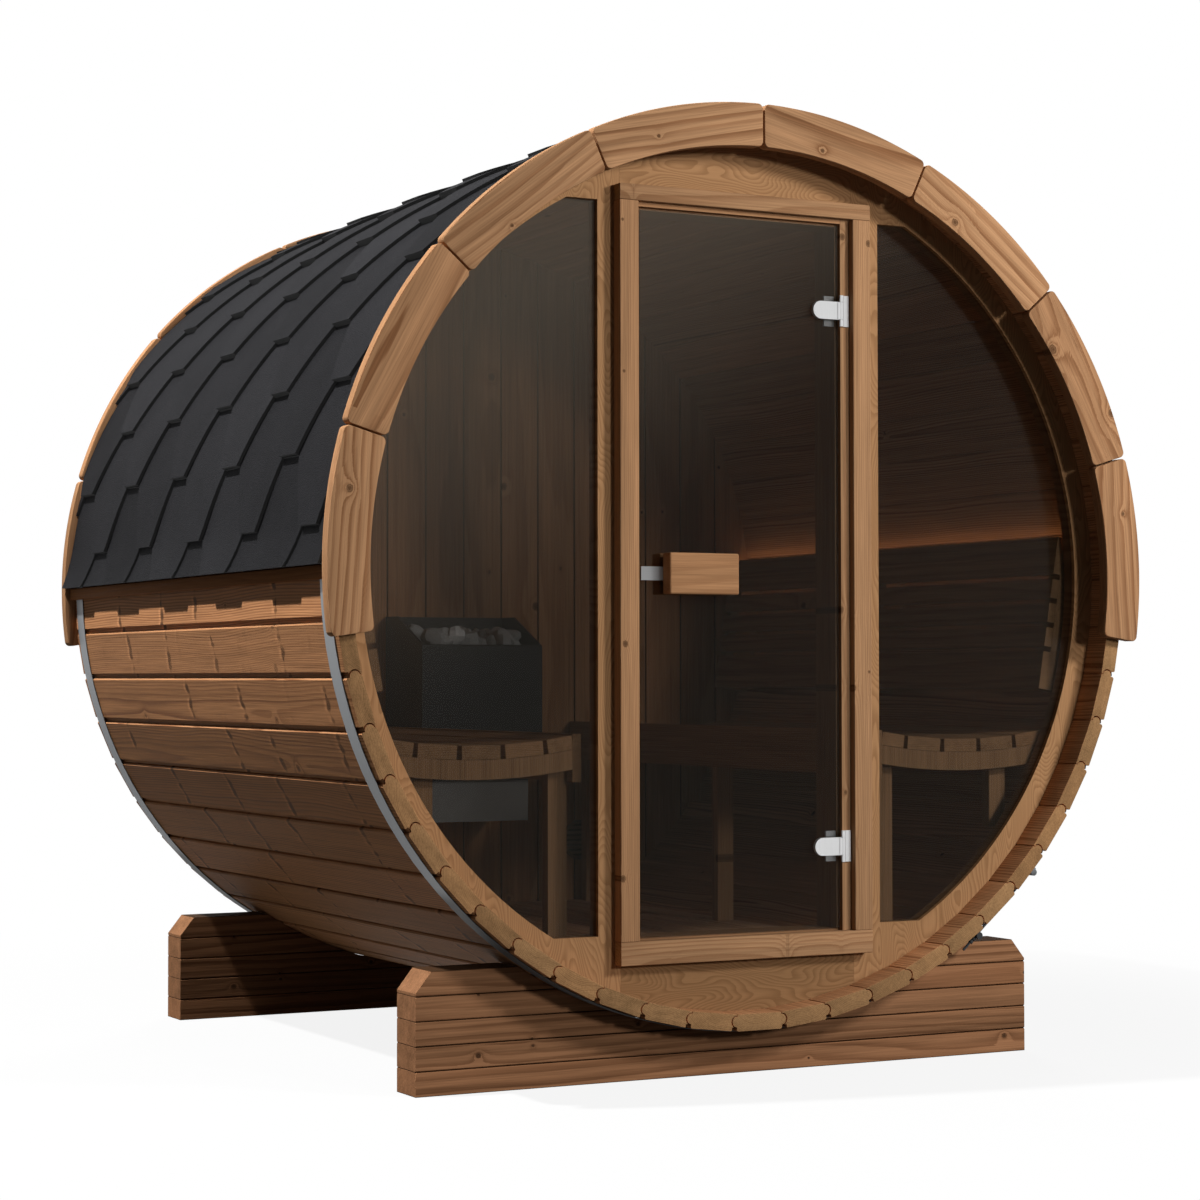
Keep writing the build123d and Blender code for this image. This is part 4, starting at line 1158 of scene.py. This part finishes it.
@dataclass
class FrontWall:
    """Plywood front with its windows, the door casing and the jamb."""

    draw: np.random.Generator
    light: Rgb = (0.40, 0.217, 0.102)
    dark: Rgb = (0.20, 0.096, 0.040)
    # the sill's plywood: the wall's colours darkened, as painted shade low on the wall
    sill_shaded_light: Rgb = (0.285, 0.154, 0.071)
    sill_shaded_dark: Rgb = (0.15, 0.072, 0.030)
    casing_wood: WoodFinish = WoodFinish(
        "casing_wood", (0.385, 0.213, 0.108), (0.215, 0.098, 0.044), ring=0.0042, ring_depth=0.65,
        spread=0.2, knots=0.5, knot_cell=(0.17, 0.06), knot_size=(0.003, 0.008), sway=0.02,
        drift=0.3, pith=(0.02, 0.10))
    casing_end: WoodFinish = WoodFinish(
        "casing_end_grain", (0.36, 0.21, 0.10), (0.19, 0.10, 0.045), knots=0.0, rough=0.75)

    def build(self) -> None:
        """Make the casing boards and finish the plywood, the sill's with painted shade, and the jamb."""
        wood = self.casing_wood.material(BoardGrain())
        end = self.casing_end.material(BoardGrain())
        runs = {"head": Axis.X, "foot": Axis.X, "left": Axis.Z, "right": Axis.Z}
        for part, along in runs.items():
            sheet = Planks(f"casing_{part}_board")
            sheet.fill(*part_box(f"door_casing_{part}"), along, self.draw.uniform())
            sheet.piece((wood, end), "casing_wood", f"door_casing_{part}")
        upright = PlywoodFinish("front_wall_upright", self.light, self.dark, Axis.Z).material()
        level = PlywoodFinish("front_wall_level", self.light, self.dark, Axis.X).material()
        dress(upright, "front_wall_left", "front_wall_right")
        dress(level, "front_wall_header")
        # painted shade: the sill takes the darker copy of the plywood
        foot = PlywoodFinish("front_wall_foot_painted_shade", self.sill_shaded_light, self.sill_shaded_dark, Axis.X).material()
        dress(foot, "front_wall_sill")
        post = self.casing_wood.material(FrameGrain(Axis.Z, Axis.X, Axis.Y, 0.3, -0.15))
        rail = self.casing_wood.material(FrameGrain(Axis.X, Axis.Z, Axis.Y, 0.5, 0.0, salt=11.0))
        dress(post, "door_jamb_left", "door_jamb_right")
        dress(rail, "door_jamb_head", "door_jamb_sill")
        glass = GlassFinish().material()
        dress(glass, "left_window_glass", "right_window_glass", "door_glass")


@dataclass
class Door:
    """The glass leaf's handle, latch strap and hinges."""

    handle_wood: WoodFinish = WoodFinish(
        "handle_wood", (0.35, 0.185, 0.090), (0.22, 0.100, 0.045), ring=0.0045, knots=0.0, rough=0.45)
    hinge_steel: SteelFinish = SteelFinish("hinge_steel", (0.68, 0.68, 0.68), Axis.Z, 0.34, 0.85)
    strap_steel: SteelFinish = SteelFinish("strap_steel", (0.30, 0.30, 0.30), Axis.X, 0.4, 0.7)

    def build(self) -> None:
        """Finish the door's CAD nodes."""
        dress(self.handle_wood.material(FrameGrain(Axis.X, Axis.Z, Axis.Y, 0.5, 0.9)), "door_handle")
        dress(self.hinge_steel.material(), "hinge_clamps", "hinge_plates")
        dress(self.strap_steel.material(), "latch_strap")


@dataclass
class Cradles:
    """Two cradles of stacked boards under the barrel."""

    board: float = 0.052
    clear: float = 0.104
    wood: WoodFinish = WoodFinish(
        "cradle_wood", (0.30, 0.146, 0.072), (0.125, 0.053, 0.024), (0.022, 0.011, 0.007), ring=0.004,
        ring_depth=0.85, spread=0.25, knots=0.5, knot_cell=(0.20, 0.06), knot_size=(0.0025, 0.007),
        cloud=0.5, sway=0.02, drift=0.34, pith=(0.02, 0.10))

    def build(self) -> None:
        """Finish the cradles as level boards with fine seams."""
        grain = FrameGrain(Axis.X, Axis.Z, Axis.Y, self.board, 0.0, split_above=self.clear, seam=0.0012)
        dress(self.wood.material(grain), "front_cradle", "rear_cradle")


@dataclass
class Inside:
    """Rear wall, floor, benches, backrests, light strips and the vent."""

    rear_board: float = 0.113
    floor_board: float = 0.103
    slat: float = 0.101
    slat_start: float = 0.4639
    rest_slat: float = 0.0572
    rest_start: float = 1.1053
    vent_rim: float = 0.0075
    screen: float = 0.0012
    screen_points: int = 48
    rear_wood: WoodFinish = WoodFinish(
        "rear_wall_wood", (0.42, 0.212, 0.098), (0.25, 0.107, 0.045), ring=0.006, knot_cell=(0.35, 0.10))
    bench_wood: WoodFinish = WoodFinish(
        "bench_wood", (0.37, 0.205, 0.100), (0.23, 0.112, 0.050), ring=0.005, spread=0.2, knots=0.1)
    floor_wood: WoodFinish = WoodFinish("floor_wood", (0.74, 0.44, 0.25), (0.44, 0.23, 0.11), spread=0.4)
    vent_plastic: PaintFinish = PaintFinish("vent_plastic", (0.13, 0.088, 0.058), 0.5)
    # a fine screen, its near-black also standing in for the shade of the duct behind
    vent_shaded_screen: PaintFinish = PaintFinish("vent_painted_shade_screen", (0.008, 0.007, 0.006), 0.8, 900.0)

    def build(self) -> None:
        """Finish the room's CAD nodes."""
        wall = FrameGrain(Axis.Z, Axis.X, Axis.Y, self.rear_board, -self.rear_board / 2, seam=0.003)
        dress(self.rear_wood.material(wall), "rear_wall")
        boards = FrameGrain(Axis.Y, Axis.X, Axis.Z, self.floor_board, -self.floor_board / 2)
        dress(self.floor_wood.material(boards), "floor_boards")
        dress(self.floor_wood.material(FrameGrain(Axis.X, Axis.Y, Axis.Z)), "floor_joists")
        seats = FrameGrain(Axis.Y, Axis.X, Axis.Z, self.slat, self.slat_start, mirrored=True)
        dress(self.bench_wood.material(seats), "left_bench_seat", "right_bench_seat")
        legs = FrameGrain(Axis.Z, Axis.Y, Axis.X, 0.3, 0.0, salt=5.0)
        dress(self.bench_wood.material(legs), "left_bench_frame", "right_bench_frame")
        rests = FrameGrain(Axis.Y, Axis.Z, Axis.X, self.rest_slat, self.rest_start, salt=2.0)
        dress(self.bench_wood.material(rests), "left_backrest", "right_backrest")
        dress(LightFinish().material(), "light_strips")
        dress(self.vent_plastic.material(), "vent_grille")
        self.vent_painted_shade_screen()

    def vent_painted_shade_screen(self) -> None:
        """Close the vent's hole with a fine screen, near-black as painted shade of the duct behind: a circle
        carried through the screen's thickness.
        """
        low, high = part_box("vent_grille")
        near, far = depth_of("rear_wall")
        turn = np.linspace(0.0, 2 * math.pi, self.screen_points, endpoint=False)
        circle = ((high.z - low.z) / 2 - self.vent_rim) * np.stack([np.cos(turn), np.sin(turn)], 1)
        middle = ((low.x + high.x) / 2, (near + far) / 2, (low.z + high.z) / 2)
        sheet = Planks("vent_painted_shade_screen")
        stations = np.array([-0.5, 0.5]) * self.screen
        sheet.carry(np.stack([circle, circle]), stations, np.eye(3)[[0, 2, 1]], middle, 0.5)
        mesh = self.vent_shaded_screen.material()
        sheet.piece((mesh, mesh), "vent_plastic")


@dataclass
class Heater:
    """The wall heater's black case, grey base and stones."""

    draw: np.random.Generator
    stones: int = 52
    stone: tuple[float, float] = (0.022, 0.036)
    heap: float = 0.04
    cuts: int = 13
    grid: tuple[int, int] = (9, 14)
    case_black: PaintFinish = PaintFinish("heater_black", (0.012, 0.012, 0.012), 0.42)
    base_grey: PaintFinish = PaintFinish("heater_grey", (0.15, 0.145, 0.135), 0.4)

    def rock(self, sheet: Sheet, centre: np.ndarray, size: float) -> None:
        """Add a split stone: along each direction, the nearest of a few cutting planes.

        The grid's two parameters are the angles of a sphere, and the distance along direction d is the least
        of plane distance / (d . plane normal).

        Args:
            sheet: the piece.
            centre: its middle.
            size: its mean radius.
        """
        draw, (rows, columns) = self.draw, self.grid
        polar = np.linspace(0.0, math.pi, rows)[:, None]
        turn = np.linspace(0.0, 2 * math.pi, columns, endpoint=False)
        ways = np.stack([np.sin(polar) * np.cos(turn), np.sin(polar) * np.sin(turn),
                         np.cos(polar) + 0 * turn], -1).reshape(-1, 3)
        planes = draw.normal(size=(self.cuts, 3))
        planes /= np.linalg.norm(planes, axis=1, keepdims=True)
        facing = np.maximum(ways @ planes.T, 0.05)
        reach = np.minimum((draw.uniform(0.72, 1.0, self.cuts) / facing).min(1), 1.25) * size
        points = centre + ways * reach[:, None] * draw.uniform(0.8, 1.1, 3)
        grid = np.arange(rows * columns).reshape(rows, columns)
        after = np.roll(grid, -1, 1)
        belt = np.stack([grid[1:-2], grid[2:-1], after[2:-1], after[1:-2]], -1).reshape(-1, 4)
        top = np.stack([np.full(columns, grid[0, 0]), grid[1], after[1]], -1)
        foot = np.stack([grid[-2], np.full(columns, grid[-1, 0]), after[-2]], -1)
        corners = np.concatenate([belt.ravel(), top.ravel(), foot.ravel()])
        used, renumbered = np.unique(corners, return_inverse=True)
        parts = np.split(renumbered, np.cumsum([belt.size, top.size]))
        faces = [part.reshape(-1, width).tolist() for part, width in zip(parts, (4, 3, 3))]
        sheet.add(points[used], faces[0] + faces[1] + faces[2], [0] * sum(map(len, faces)), points[used],
                  draw.uniform())

    def build(self) -> None:
        """Heap the stones in the tray and finish the case and the base."""
        low, high = (np.array(corner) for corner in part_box("heater_stones"))
        sheet = Sheet("heater_rocks")
        margin = self.stone[1] * 0.9
        for number in range(self.stones):
            size = self.draw.uniform(*self.stone)
            layer = number / self.stones
            level = low[2] + margin + layer * self.heap
            spot = np.array([*self.draw.uniform(low[:2] + margin, high[:2] - margin), level])
            self.rock(sheet, spot, size)
        sheet.piece((StoneFinish().material(),), "heater_stone", "heater_stones", sharp=24.0)
        dress(self.case_black.material(), "heater_case")
        dress(self.base_grey.material(), "heater_base")


@dataclass(frozen=True)
class Lamp:
    """A square soft lamp: its name, its middle, its power in watts and its side in metres."""

    name: str
    place: Place
    power: float
    size: float

    def hang(self) -> None:
        """Hang the lamp so that it faces the barrel's middle and stays out of mirrors."""
        data = bpy.data.lights.new(self.name, "AREA")
        data.energy, data.size = self.power, self.size
        made = stand(self.name, data)
        made.location = self.place
        aim = Vector(BARREL_MIDDLE) - made.location
        made.rotation_euler = aim.to_track_quat("-Z", "Y").to_euler()
        made.visible_glossy = False


@dataclass
class Studio:
    """Pale floor, white surroundings, soft lamps and the camera."""

    camera_place: Place = (-3.120, -6.080, 0.873)
    camera_turn: Place = (91.6, 0.083, -27.69)
    lens: float = 83.0
    sensor: float = 36.0
    view_end: float = 200.0
    floor_size: float = 60.0
    fill: float = 0.042
    lamps: tuple[Lamp, ...] = (Lamp("front_lamp", (1.9, -9.2, 2.5), 240.0, 0.9),
                               Lamp("key_lamp", (2.4, -4.2, 2.9), 140.0, 0.7),
                               Lamp("side_lamp", (-4.4, 0.3, 7.8), 1200.0, 0.2),
                               Lamp("back_lamp", (3.5, 6.5, 5.0), 280.0, 2.4))

    def build(self) -> None:
        """Make the floor, the world, the lamps and the camera."""
        self.floor()
        self.world()
        for lamp in self.lamps:
            lamp.hang()
        self.camera()

    @staticmethod
    def white(shader: Shader, kind: str, lit: Wire, share: Number) -> Wire:
        """What eyes and mirrors see as nearly white, and other rays as lit.

        Args:
            shader: the material or world.
            kind: the node that glows white.
            lit: what the other rays meet.
            share: how much of the white is seen.

        Returns:
            The mixed surface.
        """
        rays = shader.node("ShaderNodeLightPath", None, None, "Is Camera Ray")
        seen = rays.math("MAXIMUM", rays.out("Is Glossy Ray"))
        seen = seen.math("MAXIMUM", rays.out("Is Transmission Ray"))
        glow = shader.node(kind, None, {"Color": WHITE, "Strength": 1.0})
        return shader.node("ShaderNodeMixShader", None, {0: seen * share, 1: lit, 2: glow})

    def floor(self) -> None:
        """Lay a plain pale floor that keeps the shadow."""
        half = self.floor_size / 2
        corners = [(-half, -half, 0), (half, -half, 0), (half, half, 0), (-half, half, 0)]
        mesh = bpy.data.meshes.new("studio_floor")
        mesh.from_pydata(corners, [], [(0, 1, 2, 3)])
        shader = Shader("studio_floor")
        grain = shader.noise(shader.place(), 3.0, 2.0) * 0.03
        seen = shader.node("ShaderNodeLightPath", None, None, "Is Camera Ray")
        lit = shader.node("ShaderNodeBsdfDiffuse", None, {"Color": seen * 0.5 + grain + 0.04})
        x, y, _ = shader.split(shader.place())
        away = (x * x + y * y).math("SQRT").step(1.2, 3.2)
        surface = self.white(shader, "ShaderNodeEmission", lit, away * 0.12 + 0.88)
        mesh.materials.append(shader.close(surface))
        stand("studio_floor", mesh)

    def world(self) -> None:
        """Surround the scene with white for eyes and mirrors, and with a soft fill for the rest."""
        shader = Shader("studio", bpy.data.worlds)
        fill = shader.node("ShaderNodeBackground", None, {"Color": WHITE, "Strength": self.fill})
        surface = self.white(shader, "ShaderNodeBackground", fill, 1.0)
        bpy.context.scene.world = shader.close(surface, "ShaderNodeOutputWorld")

    def camera(self) -> None:
        """Stand the camera where the photograph was taken from."""
        data = bpy.data.cameras.new("camera")
        data.lens, data.sensor_width, data.clip_end = self.lens, self.sensor, self.view_end
        made = stand("camera", data)
        made.location = self.camera_place
        made.rotation_euler = [math.radians(turn) for turn in self.camera_turn]
        bpy.context.scene.camera = made


def main() -> None:
    """Build each sub-assembly in order."""
    logging.basicConfig(level=logging.INFO, format="%(name)s %(message)s")
    draw = np.random.default_rng(SEED)
    bpy.context.scene.view_settings.view_transform = "Standard"
    Studio().build()
    barrel = Barrel(draw)
    barrel.build_staves()
    barrel.build_fascia()
    barrel.build_battens()
    barrel.dress()
    Roof(draw).build()
    FrontWall(draw).build()
    Door().build()
    Cradles().build()
    Inside().build()
    Heater(draw).build()


if __name__ == "__main__":
    main()
